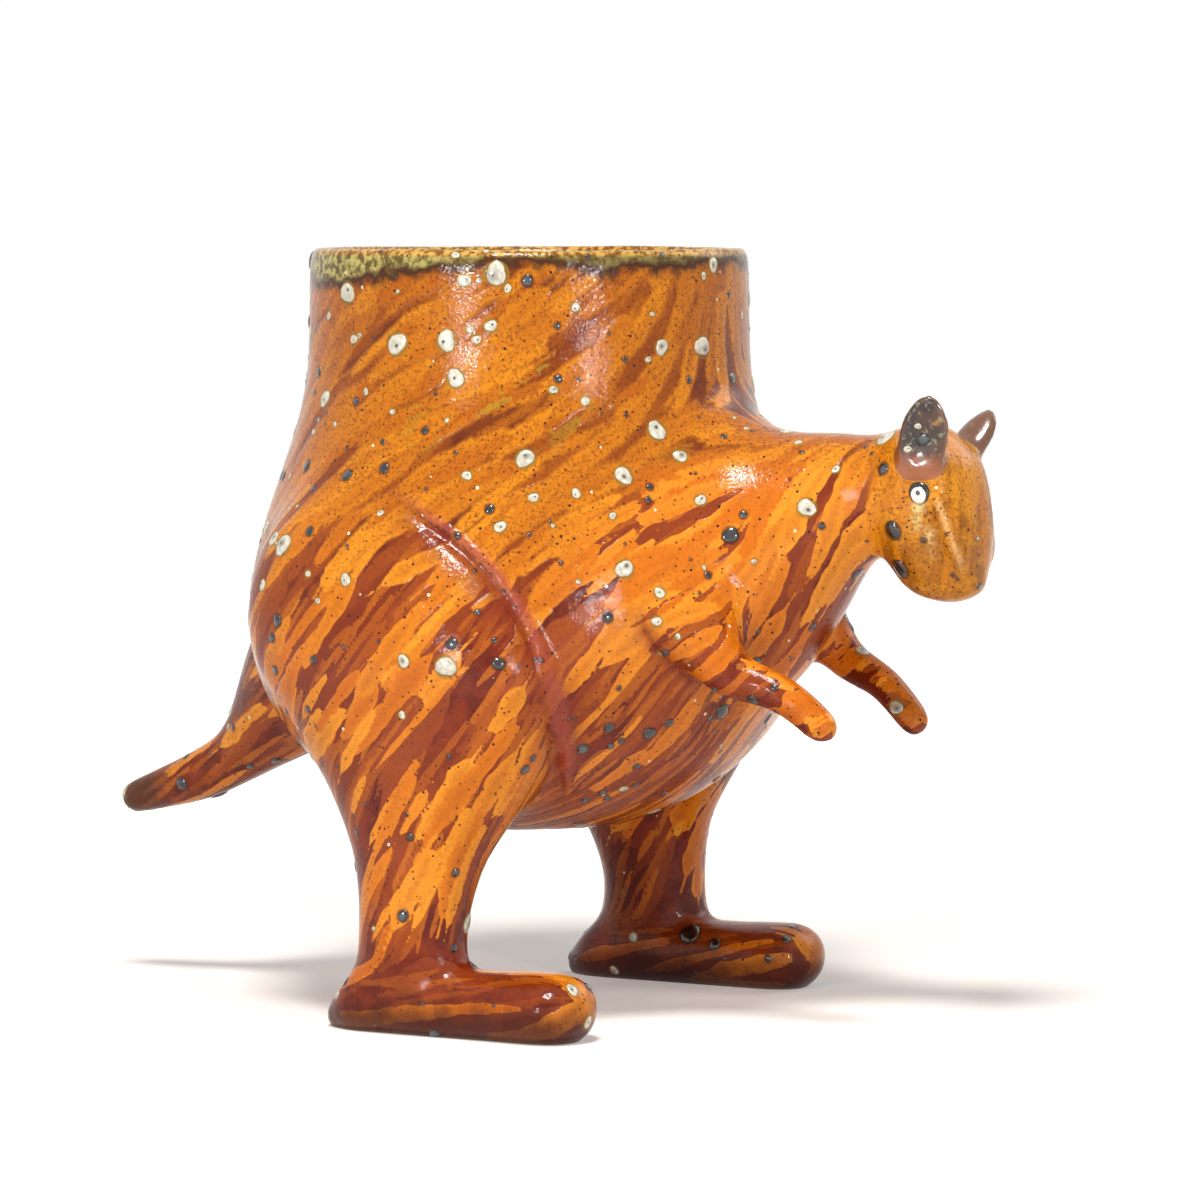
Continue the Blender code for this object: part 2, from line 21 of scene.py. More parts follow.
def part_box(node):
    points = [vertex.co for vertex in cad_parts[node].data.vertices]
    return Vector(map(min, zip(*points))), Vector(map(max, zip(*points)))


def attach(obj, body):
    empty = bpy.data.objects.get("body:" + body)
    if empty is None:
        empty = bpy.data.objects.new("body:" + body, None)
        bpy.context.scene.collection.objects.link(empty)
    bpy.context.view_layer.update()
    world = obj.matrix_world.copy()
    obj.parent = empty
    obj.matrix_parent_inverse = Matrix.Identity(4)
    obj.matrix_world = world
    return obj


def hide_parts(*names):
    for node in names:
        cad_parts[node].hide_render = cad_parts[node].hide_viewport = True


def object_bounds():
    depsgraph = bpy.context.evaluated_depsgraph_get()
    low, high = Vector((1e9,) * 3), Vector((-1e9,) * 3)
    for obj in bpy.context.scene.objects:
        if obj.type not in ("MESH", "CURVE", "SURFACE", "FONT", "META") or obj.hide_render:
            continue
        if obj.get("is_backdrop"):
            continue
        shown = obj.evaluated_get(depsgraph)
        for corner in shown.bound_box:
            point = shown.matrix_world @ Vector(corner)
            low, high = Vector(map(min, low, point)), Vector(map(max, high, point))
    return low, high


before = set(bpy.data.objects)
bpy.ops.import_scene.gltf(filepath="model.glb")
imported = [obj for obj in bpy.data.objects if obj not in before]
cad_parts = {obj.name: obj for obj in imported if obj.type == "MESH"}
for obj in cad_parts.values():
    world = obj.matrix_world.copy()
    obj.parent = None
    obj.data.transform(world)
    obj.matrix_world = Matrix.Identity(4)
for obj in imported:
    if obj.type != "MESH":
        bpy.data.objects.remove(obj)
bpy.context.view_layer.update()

MM = 0.001

# %% [markdown]
# The cup's axis is the potter's wheel, so all places below are told from it, in
# millimetres: X towards the nose, Y to the animal's left and Z up from the table. The
# frame gives the axis and the main heights.

# %% Find the wheel's axis in the frame
cup_low, cup_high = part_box("cup_body")
AXIS_X = (cup_low.x + cup_high.x) / 2 / MM
RIM = cup_high.z / MM
BASE = cup_low.z / MM
BELLY_RADIUS = (cup_high.x - cup_low.x) / 2 / MM
print(f"axis at x {AXIS_X:.2f} mm, rim {RIM:.1f}, base {BASE:.1f}, belly {BELLY_RADIUS:.1f}")


def place(x, y, z):
    """A place told from the wheel's axis in millimetres, as a place in the scene."""
    return Vector((x + AXIS_X, y, z)) * MM


# %% [markdown]
# The camera stands 30 degrees to the animal's right and a hand's breadth above the rim,
# about a metre away, with a long lens, so the upright lines stay almost parallel.

# %% Set the camera
FRAME_PIXELS = 1200
FOCAL_PIXELS = 6267
SENSOR_MM = 36.0
CAMERA_AZIMUTH = math.radians(30.0)
CAMERA_DISTANCE = 1000.0
CAMERA_HEIGHT = 131.0
AIM_BELOW_PIXELS = 415
AIM_RIGHT_PIXELS = 70.5
CAMERA_DOWN = math.atan(AIM_BELOW_PIXELS / FOCAL_PIXELS)
CAMERA_RIGHT = math.atan(AIM_RIGHT_PIXELS / FOCAL_PIXELS)


def make_camera():
    bpy.ops.object.camera_add(location=place(
        CAMERA_DISTANCE * math.sin(CAMERA_AZIMUTH),
        -CAMERA_DISTANCE * math.cos(CAMERA_AZIMUTH), CAMERA_HEIGHT))
    camera = bpy.context.object
    camera.name = "camera"
    camera.data.sensor_width = SENSOR_MM
    camera.data.lens = FOCAL_PIXELS / FRAME_PIXELS * SENSOR_MM
    camera.data.clip_start = 0.05
    camera.rotation_euler = (math.pi / 2 - CAMERA_DOWN, 0, CAMERA_AZIMUTH - CAMERA_RIGHT)
    bpy.context.scene.camera = camera
    return camera


camera = make_camera()
print("lens", round(camera.data.lens, 1), "mm")

# %% [markdown]
# Every material below is a tree of shader nodes. Two helpers keep them short: colours are
# written as hex texts, as a colour picker shows them, and one function adds a node. A Map
# Range node turns a value smoothly into a share from 0 to 1, unless it is told to be
# linear, and a Mix node mixes colours. Three more helpers serve the modelling: operators
# act on all that is selected, so the one object that is meant is selected alone first.

# %% Write the helpers for colours, nodes, selecting and modifiers
USUAL_SETTINGS = {"MapRange": {"interpolation_type": "SMOOTHSTEP"}, "Mix": {"data_type": "RGBA"}}
LINEAR = {"interpolation_type": "LINEAR"}


def hex_colour(text):
    """An sRGB hex colour as linear red, green, blue and alpha."""
    values = [int(text[i:i + 2], 16) / 255 for i in (1, 3, 5)]
    linear = [v / 12.92 if v <= 0.04045 else ((v + 0.055) / 1.055) ** 2.4 for v in values]
    return (*linear, 1.0)


def add_node(tree, kind, inputs=None, **settings):
    """Adds a shader node with its settings, and sets or links its inputs.

    An input takes a number, a hex colour, an output or a node, whose first live output
    is then linked.
    """
    node = tree.nodes.new("ShaderNode" + kind)
    for key, value in {**USUAL_SETTINGS.get(kind, {}), **settings}.items():
        setattr(node, key, value)
    for key, value in (inputs or {}).items():
        if isinstance(value, bpy.types.Node):
            value = next(output for output in value.outputs if output.enabled)
        if isinstance(value, bpy.types.NodeSocket):
            tree.links.new(value, node.inputs[key])
        else:
            is_hex = isinstance(value, str)
            node.inputs[key].default_value = hex_colour(value) if is_hex else value
    return node


def deselect_all():
    bpy.ops.object.select_all(action="DESELECT")


def select_only(thing):
    """Selects one object alone and makes it the active one."""
    deselect_all()
    bpy.context.view_layer.objects.active = thing
    thing.select_set(True)


def apply_modifier(thing, kind, **settings):
    """Adds a modifier with its settings to an object, and applies it."""
    select_only(thing)
    bpy.ops.object.modifier_add(type=kind)
    modifier = thing.modifiers[-1]
    for key, value in settings.items():
        setattr(modifier, key, value)
    bpy.ops.object.modifier_apply(modifier=modifier.name)


print("red clay is", [round(value, 3) for value in hex_colour("#7E2C10")])

# %% [markdown]
# The floor is a sheet of pale paper. It and the background turn white for the camera and
# for what mirrors or glass show, so that no extra light falls on the cup. Close to the cup
# the floor is lifted less, and so it keeps the shadow.

# %% Lay the floor
FLOOR_COLOUR = "#E9E1D9"
FLOOR_LIFT = 0.25
LIFT_NEAR, LIFT_FAR = 0.10, 0.42


def rays_that_see_white(tree):
    """1 for the camera's rays and for those that a mirror or glass passes on."""
    path = add_node(tree, "LightPath")
    seen = path.outputs["Is Camera Ray"]
    for name in ("Is Glossy Ray", "Is Transmission Ray"):
        seen = add_node(tree, "Math", {0: seen, 1: path.outputs[name]}, operation="ADD",
                        use_clamp=True)
    return seen


def make_floor():
    deselect_all()
    bpy.ops.mesh.primitive_plane_add(size=3.0, location=(0, 0, 0))
    floor = bpy.context.object
    floor.name = "pale_floor"
    material = bpy.data.materials.new("matt paper backdrop")
    material.use_nodes = True
    tree = material.node_tree
    shader = tree.nodes["Principled BSDF"]
    shader.inputs["Base Color"].default_value = hex_colour(FLOOR_COLOUR)
    shader.inputs["Roughness"].default_value = 0.7
    shader.inputs["Specular IOR Level"].default_value = 0.0
    where = add_node(tree, "TexCoord").outputs["Object"]
    reach = add_node(tree, "VectorMath", {0: where}, operation="LENGTH")
    far = add_node(tree, "MapRange", {
        0: reach.outputs["Value"], 1: LIFT_NEAR, 2: LIFT_FAR, 3: FLOOR_LIFT, 4: 1.0})
    lift = add_node(tree, "Math", {0: far, 1: rays_that_see_white(tree)}, operation="MULTIPLY")
    white = add_node(tree, "Emission", {"Color": (1, 1, 1, 1), "Strength": lift})
    both = add_node(tree, "AddShader", {0: shader.outputs[0], 1: white})
    tree.links.new(both.outputs[0], tree.nodes["Material Output"].inputs["Surface"])
    floor.data.materials.append(material)
    floor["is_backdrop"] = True


make_floor()
print("floor fades to white between", LIFT_NEAR, "and", LIFT_FAR, "m")

# %% [markdown]
# Two small windows in front, left and right, give the bright spots on the glaze, a soft box
# overhead gives the shadow, a weak one lights the back, and a pale world fills the rest.

# %% Hang the lights
WORLD_LIGHT = 0.20
LAMPS = (  # name, place in millimetres, width and height in metres, power in watts
    ("left_window", (-60, -900, 190), 0.13, 0.034, 2.6),
    ("right_window", (760, -460, 200), 0.05, 0.08, 1.8),
    ("overhead_softbox", (160, -430, 900), 0.20, 0.20, 9.3),
    ("back_softbox", (400, 700, 600), 0.5, 0.5, 2.0),
)


def hang_lamp(name, place_at, aim, size_x, size_y, power):
    bpy.ops.object.light_add(type="AREA", location=place_at)
    lamp = bpy.context.object
    lamp.name = name
    lamp.data.shape = "RECTANGLE"
    lamp.data.size = size_x
    lamp.data.size_y = size_y
    lamp.data.energy = power
    lamp.rotation_euler = (place_at - aim).to_track_quat("Z", "Y").to_euler()


def make_world():
    world = bpy.data.worlds.new("pale studio")
    bpy.context.scene.world = world
    world.use_nodes = True
    tree = world.node_tree
    tree.nodes.clear()
    soft = add_node(tree, "Background", {"Color": "#F4F6FA", "Strength": WORLD_LIGHT})
    white = add_node(tree, "Background", {"Color": (1, 1, 1, 1), "Strength": 1.0})
    mix = add_node(tree, "MixShader", {0: rays_that_see_white(tree), 1: soft, 2: white})
    add_node(tree, "OutputWorld", {"Surface": mix})


for name, spot, width, height, power in LAMPS:
    hang_lamp(name, place(*spot), place(0, 0, 65), width, height, power)
make_world()
bpy.context.scene.view_settings.view_transform = "Standard"
print("hung", len(LAMPS), "lamps")

# %% [markdown]
# The cup was thrown first: a round belly, a drawn-in waist and an almost upright wall. Its
# radius at each height is told once, because the limbs and the bowl need it again.

# %% Tell the cup's outline
WAIST = 106.6
WAIST_RADIUS = 35.1
RIM_RADIUS = 34.9
BELLY = 61.6
BOWL_DEPTH = 34.3


def cup_radius(z):
    """The cup's outer radius at a height."""
    if z >= WAIST:
        share = min((z - WAIST) / (RIM - WAIST), 1.0)
        return WAIST_RADIUS + (RIM_RADIUS - WAIST_RADIUS) * share
    if z >= BELLY:
        turn = math.pi * (z - BELLY) / (WAIST - BELLY)
        return BELLY_RADIUS - (BELLY_RADIUS - WAIST_RADIUS) * (1 - math.cos(turn)) / 2
    drop = (BELLY - z) / BOWL_DEPTH
    return BELLY_RADIUS * math.sqrt(max(0.0, 1 - drop * drop))


print("belly", round(2 * cup_radius(BELLY), 1), "and mouth", round(2 * cup_radius(RIM), 1), "mm")

# %% [markdown]
# The outline is drawn edge by edge, from a false floor round the lip and down to the base,
# and spun round the axis, as on the wheel. The hollow is only started here; its glassy
# inside is turned later, finer than clay.

# %% Spin the cup
LIP = 3.1
FALSE_FLOOR = RIM - 12.0
CUP_SEGMENTS = 144
LIP_STEPS = 12


def spin_outline(name, outline, segments=CUP_SEGMENTS):
    """Spins an outline of radius and height round the axis, and closes its seam."""
    mesh = bpy.data.meshes.new(name)
    turned = bpy.data.objects.new(name, mesh)
    bpy.context.scene.collection.objects.link(turned)
    mesh.from_pydata([place(r, 0, z) for r, z in outline],
                     [(i, i + 1) for i in range(len(outline) - 1)], [])
    select_only(turned)
    bpy.ops.object.mode_set(mode="EDIT")
    bpy.ops.mesh.select_all(action="SELECT")
    bpy.ops.mesh.spin(steps=segments, angle=2 * math.pi, center=place(0, 0, 0), axis=(0, 0, 1))
    bpy.ops.mesh.select_all(action="SELECT")
    bpy.ops.mesh.remove_doubles(threshold=0.00001)
    bpy.ops.mesh.normals_make_consistent(inside=False)
    bpy.ops.object.mode_set(mode="OBJECT")
    return turned


def wall_outline(low, high, inset, steps):
    """Points up the wall between two heights, moved in from the skin."""
    heights = [low + (high - low) * i / steps for i in range(steps + 1)]
    return [(cup_radius(z) - inset, z) for z in heights]


lip_arc = []
for i in range(1, LIP_STEPS):
    turn = math.pi * (1 - i / LIP_STEPS)
    lip_arc.append((RIM_RADIUS - LIP / 2 + math.cos(turn) * LIP / 2,
                    RIM - LIP / 2 + math.sin(turn) * LIP / 2))
cup_outline = [(0.0, FALSE_FLOOR)]
cup_outline += wall_outline(FALSE_FLOOR, RIM - LIP / 2, LIP, 8)
cup_outline += lip_arc
cup_outline += wall_outline(BASE, RIM - LIP / 2, 0.0, 70)[::-1]
cup_outline += [(0.0, BASE)]
cup_form = spin_outline("cup_form", cup_outline)
print("cup", len(cup_form.data.vertices), "points")

# %% [markdown]
# Every limb is told by a few sections, the sizes that a modeller would measure: each has
# a place, a half width to the side, a half width up, and how square it is. A smooth curve
# through them gives many rings, and a dome of smaller rings rounds each end.

# %% Find a limb's rings
DOME_STEPS = 7


def smooth_row(rows, share):
    """A row of values on the smooth curve through the rows, at a share of its run."""
    spot = share * (len(rows) - 1)
    i = min(int(spot), len(rows) - 2)
    t = spot - i
    before, after = rows[max(i - 1, 0)], rows[min(i + 2, len(rows) - 1)]
    values = []
    for p0, p1, p2, p3 in zip(before, rows[i], rows[i + 1], after):
        values.append((2 * t**3 - 3 * t**2 + 1) * p1 + (t**3 - 2 * t**2 + t) * (p2 - p0) / 2
                      + (3 * t**2 - 2 * t**3) * p2 + (t**3 - t**2) * (p3 - p1) / 2)
    return values


def limb_rings(sections, across, up, steps, start_round, end_round):
    """Centre, sizes and directions of each ring, with rounded ends."""
    count = (len(sections) - 1) * steps
    rows = [smooth_row(sections, i / count) for i in range(count + 1)]
    spots = [Vector(row[:3]) for row in rows]
    rings = []
    for i, row in enumerate(rows):
        way = (spots[min(i + 1, count)] - spots[max(i - 1, 0)]).normalized()
        side = across
        if up is None:
            side = (across - way * across.dot(way)).normalized()
        rings.append((spots[i], row[3:], side, up or way.cross(side)))
    ends = []
    for index, towards, reach in ((0, spots[0] - spots[1], start_round),
                                  (-1, spots[-1] - spots[-2], end_round)):
        centre, sizes, side, rise = rings[index]
        dome = []
        for i in range(1, DOME_STEPS):
            turn = math.pi / 2 * i / DOME_STEPS
            shrunk = [sizes[0] * math.cos(turn), sizes[1] * math.cos(turn), *sizes[2:]]
            spot = centre + towards.normalized() * reach * math.sin(turn)
            dome.append((spot, shrunk, side, rise))
        pole = centre + towards.normalized() * reach
        ends.append((dome, pole))
    return ends[0][0][::-1] + rings + ends[1][0], ends[0][1], ends[1][1]


print("each dome has", DOME_STEPS - 1, "rings")

# %% [markdown]
# The limb itself starts as a ball with as many rings. Each point of the ball is moved to
# its place on the limb, which keeps one closed skin with a pole at each end.

# %% Lay a ball's rings along a limb
def section_point(ring, turn, grow):
    """A point of a ring's outline; the front half may be squarer than the back."""
    centre, sizes, side, rise = ring
    half_side, half_rise, square = sizes[:3]
    c, s = math.cos(turn), math.sin(turn)
    power = 2 / (sizes[3] if len(sizes) > 3 and s > 0 else square)
    return (centre + side * math.copysign(abs(c) ** power, c) * (half_side + grow)
            + rise * math.copysign(abs(s) ** power, s) * (half_rise + grow))


def lay_limb(name, sections, across, up=None, steps=5, rounds=(0.5, 0.5), sides=48, grow=0.0):
    """A ball laid along a limb, with its skin moved out by grow."""
    rings, start_pole, end_pole = limb_rings(sections, across, up, steps, *rounds)
    middle = (start_pole + end_pole) / 2
    deselect_all()
    bpy.ops.mesh.primitive_uv_sphere_add(segments=sides, ring_count=len(rings) + 1, radius=1)
    limb = bpy.context.object
    limb.name = name
    for vertex in limb.data.vertices:
        x, y, z = vertex.co
        index = round(math.acos(max(-1.0, min(1.0, z))) / math.pi * (len(rings) + 1))
        if index == 0:
            spot = start_pole + (start_pole - middle).normalized() * grow
        elif index == len(rings) + 1:
            spot = end_pole + (end_pole - middle).normalized() * grow
        else:
            spot = section_point(rings[index - 1], math.atan2(y, x), grow)
        vertex.co = place(*spot)
    bpy.ops.object.mode_set(mode="EDIT")
    bpy.ops.mesh.select_all(action="SELECT")
    bpy.ops.mesh.normals_make_consistent(inside=False)
    bpy.ops.object.mode_set(mode="OBJECT")
    return limb


X = Vector((1, 0, 0))
Y = Vector((0, 1, 0))
Z = Vector((0, 0, 1))
RIGHT = -1
LEFT = 1
SIDES = {"right": RIGHT, "left": LEFT}
print("limbs come in pairs,", " and ".join(SIDES))

# %% [markdown]
# The haunches are the biggest limbs: a flat pad of clay with full corners, pressed on the
# flank, broad over the belly and narrowing through knee and shin to the ankle. It lies
# close to the cup at the back and stands out in front, where its edge makes the crease.

# %% Shape the hind legs
LEG_SPREAD = 38.0
LEG_TURN = math.radians(6.0)
HAUNCH_MIDDLE_Z = 58.5
HAUNCH_HALF_HEIGHT = 29.5
HAUNCH_HALF_LENGTH = 28.75
HAUNCH_HALF_THICK = 16.5
HAUNCH_PROUD = 2.2
SHIN_SPREAD = 33.4


def leg_sections(side):
    """From the top of the haunch down to the ankle's root in the foot."""
    rows = []
    for degrees, proud in ((76, -1.8), (56, -0.1), (30, 1.6), (0, HAUNCH_PROUD)):
        turn = math.radians(degrees)
        z = HAUNCH_MIDDLE_Z + HAUNCH_HALF_HEIGHT * math.sin(turn)
        skin = cup_radius(z) + proud
        rows.append((-2.8 - 7.3 * math.sin(turn), side * (skin - HAUNCH_HALF_THICK), z,
                     HAUNCH_HALF_THICK, HAUNCH_HALF_LENGTH * math.cos(turn) ** 1.25, 2.7))
    middle = cup_radius(HAUNCH_MIDDLE_Z) + HAUNCH_PROUD - HAUNCH_HALF_THICK
    ankle_x, half_ankle = (1.1, 8.8) if side == RIGHT else (2.0, 8.5)
    rows.append((0.0, side * (middle + SHIN_SPREAD) / 2, 47.0, 14.5, 23.9, 2.35))
    rows.append((1.6, side * SHIN_SPREAD, 37.0, 12.5, 17.5, 2.1))
    rows.append((1.4, side * 36.2, 26.8, 9.2, 11.1, 2.0))
    rows.append((ankle_x, side * LEG_SPREAD, 16.0, 8.0, half_ankle, 2.0))
    rows.append((ankle_x - 0.6, side * LEG_SPREAD, 6.0, 6.3, half_ankle + 2.0, 2.0))
    return rows


def leg_ways(side):
    """The ways across and along a leg, which is turned a little outwards."""
    turn = LEG_TURN * side
    along = Vector((math.cos(turn), math.sin(turn), 0))
    return Vector((-math.sin(turn), math.cos(turn), 0)), along


print("haunch", 2 * HAUNCH_HALF_LENGTH, "mm long")

# %% [markdown]
# A foot is a thick coil of clay: a heel that rises to the ankle, a level instep and a blunt
# round toe. It is laid a little below the table, and the sole is sliced flat later.

# %% Shape the feet
def foot_sections(side):
    y = side * LEG_SPREAD
    return [
        (-12.6, y, 2.2, 3.2, 3.0, 2.3),
        (-8.0, y, 4.2, 6.2, 5.4, 2.3),
        (0.0, y, 4.6, 6.9, 5.7, 2.3),
        (13.0, y, 4.5, 6.9, 5.7, 2.3),
        (22.0, y, 4.7, 7.5, 5.8, 2.3),
        (26.8, y, 4.8, 7.6, 5.85, 2.2),
    ]


print("feet", 2 * LEG_SPREAD, "mm apart")

# %% [markdown]
# The tail leaves the back broadly, bends and tapers to a round tip. The neck is drawn out
# of the cup's shoulder, level on top, and the chest rises under it to the throat. The head
# hangs down from it: a flat face plane with an edge on each side, and fuller cheeks.

# %% Shape the tail, neck and head
TAIL_SECTIONS = [
    (-38.0, 0, 53.2, 12.8, 15.0, 2.0),
    (-44.0, 0, 48.2, 9.9, 11.0, 2.0),
    (-53.5, 0, 38.8, 5.5, 5.5, 2.0),
    (-62.8, 0, 33.8, 4.3, 4.3, 2.0),
    (-75.5, 0, 29.6, 3.0, 3.1, 2.0),
]
NECK_SECTIONS = [
    (31.5, 0, 69.5, 25.5, 30.5, 2.0),
    (38.5, 0, 70.3, 20.8, 25.6, 2.0),
    (43.5, 0, 71.6, 16.9, 21.9, 2.0),
    (48.5, 0, 73.6, 14.4, 19.2, 2.0),
    (54.0, 0, 77.6, 11.9, 15.1, 2.0),
    (60.0, 0, 82.2, 9.2, 10.5, 2.0),
    (64.0, 0, 83.2, 8.4, 9.4, 2.0),
]
HEAD_SECTIONS = [
    (69.6, 0, 92.4, 6.4, 6.2, 2.1, 2.3),
    (69.9, 0, 89.0, 8.6, 8.7, 2.1, 2.6),
    (70.2, 0, 84.2, 9.3, 9.6, 2.1, 3.0),
    (71.6, 0, 76.6, 8.2, 9.2, 2.2, 3.2),
    (73.4, 0, 70.9, 6.0, 7.3, 2.2, 2.5),
]
print("tail", len(TAIL_SECTIONS), "sections, neck", len(NECK_SECTIONS), "and head",
      len(HEAD_SECTIONS))

# %% [markdown]
# An ear is a leaf of clay that was pressed with the end of a round tool, so a hollow with a
# rolled edge is left in it. The hollow is a second, smaller leaf that is cut out.

# %% Shape the ears
EAR_TURN = math.radians(6.0)
EARS = {
    "right": {"base": (73.7, -8.0, 88.5), "way": (2.6, -3.0, 11.2), "wide": 4.7},
    "left": {"base": (72.4, 8.0, 88.2), "way": (3.0, 5.2, 8.4), "wide": 4.1},
}


def ear_frame(word):
    """Base, way up the ear, broad direction and the way its hollow looks."""
    ear = EARS[word]
    side = SIDES[word]
    broad = Vector((math.cos(EAR_TURN), -side * math.sin(EAR_TURN), 0))
    way = Vector(ear["way"])
    outward = broad.cross(way).normalized() * -side
    return Vector(ear["base"]), way, broad, outward


def ear_sections(word):
    base, way = ear_frame(word)[:2]
    rows = []
    for share, width, depth in ((-0.16, 0.66, 1.6), (0.10, 0.94, 2.0), (0.40, 1.04, 1.9),
                                (0.70, 0.86, 1.6), (0.92, 0.50, 1.1)):
        rows.append((*(base + way * share), depth, EARS[word]["wide"] * width, 2.0))
    return rows


def ear_hollow_sections(word):
    base, way, _, outward = ear_frame(word)
    rows = []
    for share, width in ((0.08, 0.46), (0.26, 0.76), (0.50, 0.80), (0.72, 0.64), (0.88, 0.32)):
        spot = base + way * share + outward * 2.2
        rows.append((*spot, 2.3, EARS[word]["wide"] * width, 2.0))
    return rows


print("ears", [round(Vector(ear["way"]).length, 1) for ear in EARS.values()], "mm long")

# %% [markdown]
# An arm is a flat pad at the shoulder, pressed on the chest with a tool line behind it,
# that turns into a round forearm with a blunt paw. The right paw is held a little higher.

# %% Shape the arms
SHOULDER_TURN = math.radians(27.0)
SHOULDER_HEIGHT = 66.5


def arm_way(side):
    return Vector((math.cos(SHOULDER_TURN), side * math.sin(SHOULDER_TURN), 0))


def arm_sections(side):
    outward = arm_way(side)
    reach = cup_radius(SHOULDER_HEIGHT) + 0.4
    shoulder = outward * reach + Z * SHOULDER_HEIGHT
    elbow = Vector((45.6, side * 19.4, 56.8))
    paw = Vector((60.9 - side * 0.7, side * 17.0, 47.2 - side * 0.7))
    lift = Z * 1.6
    return [
        (*(shoulder - outward * 2.2 + Z * 5.0), 2.8, 7.0, 2.0),
        (*shoulder, 3.7, 8.6, 2.0),
        (*((shoulder + elbow) / 2), 4.0, 6.8, 2.0),
        (*elbow, 3.8, 5.0, 2.0),
        (*(elbow * 0.76 + paw * 0.24 + Z * 0.4), 3.3, 3.7, 2.0),
        (*(elbow * 0.38 + paw * 0.62 + lift), 3.0, 3.1, 2.0),
        (*(paw + Z * 0.2), 2.8, 2.9, 2.0),
    ]


print("shoulders", SHOULDER_HEIGHT, "mm above the table")

# %% [markdown]
# Now every limb is laid from its sections. The same function makes it again later, a
# little fatter, as the knife that parts it from the cup.

# %% Model every limb
LIMBS = [word + part for part in ("_ear", "_arm", "_foot", "_leg") for word in SIDES]
LIMBS += ["head", "neck", "tail"]


def model_limb(name, grow=0.0):
    """One limb by name, with its skin moved out by grow."""
    form = name + "_form"
    if name == "tail":
        return lay_limb(form, TAIL_SECTIONS, Y, rounds=(2.0, 3.0), grow=grow)
    if name == "neck":
        return lay_limb(form, NECK_SECTIONS, Y, Z, rounds=(2.0, 3.0), grow=grow)
    if name == "head":
        return lay_limb(form, HEAD_SECTIONS, Y, X, rounds=(2.1, 4.6), grow=grow)
    word, part = name.split("_")
    side = SIDES[word]
    if part == "leg":
        return lay_limb(form, leg_sections(side), *leg_ways(side), rounds=(1.4, 0.5), grow=grow)
    if part == "foot":
        return lay_limb(form, foot_sections(side), Y, Z, rounds=(2.2, 6.0), grow=grow)
    if part == "arm":
        return lay_limb(form, arm_sections(side), arm_way(side), rounds=(3.0, 2.9), grow=grow)
    return lay_limb(form, ear_sections(word), ear_frame(word)[3], ear_frame(word)[2],
                    rounds=(0.6, 1.0), grow=grow)


limbs = {name: model_limb(name) for name in LIMBS}
print("limbs:", ", ".join(limbs))

# %% [markdown]
# The hollow of an ear is pressed in by cutting the tool's own form out of the leaf. Each
# form is remembered as a search tree, which can tell later how far any point of the clay
# is from it, and so where the joints and the hollows are.

# %% Press the hollows into the ears
def closed_cut(target, cutter, operation="DIFFERENCE"):
    """Cuts one closed mesh by another."""
    apply_modifier(target, "BOOLEAN", operation=operation, solver="MANIFOLD", object=cutter)
    if len(target.modifiers):
        raise RuntimeError("the cut failed on " + target.name)


def remove_object(thing):
    mesh = thing.data
    bpy.data.objects.remove(thing)
    bpy.data.meshes.remove(mesh)


def search_tree(thing):
    mesh = thing.data
    return BVHTree.FromPolygons([v.co.copy() for v in mesh.vertices],
                                [tuple(p.vertices) for p in mesh.polygons])


def corner_box(thing):
    points = np.array([v.co for v in thing.data.vertices])
    return points.min(axis=0), points.max(axis=0)


trees, form_boxes = {}, {}
for word in SIDES:
    hollow = lay_limb(word + "_ear_tool", ear_hollow_sections(word), ear_frame(word)[3],
                      ear_frame(word)[2], steps=4, rounds=(0.5, 0.5), sides=32)
    closed_cut(limbs[word + "_ear"], hollow)
    trees[word + "_hollow"] = search_tree(hollow)
    form_boxes[word + "_hollow"] = corner_box(hollow)
    remove_object(hollow)
print("hollows pressed into", len(form_boxes), "ears")

# %% [markdown]
# Luting joins the limbs to the cup: both faces are scored, wetted with slip and pressed
# together, and a wet finger wipes the joint away. Here all the forms are joined and given
# one skin by a voxel remesh, as if the clay had run together.

# %% Join the forms and give them one skin
CLAY_GRAIN = 0.58 * MM

forms = dict(limbs, cup=cup_form)
trees.update({name: search_tree(form) for name, form in forms.items()})
form_boxes.update({name: corner_box(form) for name, form in forms.items()})

deselect_all()
for form in forms.values():
    form.select_set(True)
bpy.context.view_layer.objects.active = cup_form
bpy.ops.object.join()
clay = bpy.context.object
clay.name = "wet_clay"
apply_modifier(clay, "REMESH", mode="VOXEL", voxel_size=CLAY_GRAIN, use_smooth_shade=True)
print("clay skin", len(clay.data.vertices), "points")

# %% [markdown]
# A joint lies where the skin is close to two forms at once, so the distance from every
# point of the skin to every form is measured now.

# %% Measure how far the skin is from each form
FAR = 10.0


def read_vectors(parts, key):
    """The same vector of every point or face of a mesh, as the rows of an array."""
    values = np.empty(len(parts) * 3, np.float32)
    parts.foreach_get(key, values)
    return values.reshape(-1, 3)


def distances_to(name, points):
    """Distance in millimetres from each point to a form, and FAR beyond its reach."""
    low, high = form_boxes[name]
    reach = FAR * MM
    near = np.all((points > low - reach) & (points < high + reach), axis=1)
    result = np.full(len(points), FAR, np.float32)
    find = trees[name].find_nearest
    for i in np.nonzero(near)[0]:
        hit = find(Vector(points[i]), reach)
        if hit[3] is not None:
            result[i] = hit[3] / MM
    return result


def smoothstep(low, high, values):
    share = np.clip((values - low) / (high - low), 0.0, 1.0)
    return share * share * (3 - 2 * share)


points = read_vectors(clay.data.vertices, "co")
gap = {name: distances_to(name, points) for name in trees}
print("measured", {name: int((values < 0.3).sum()) for name, values in gap.items()})

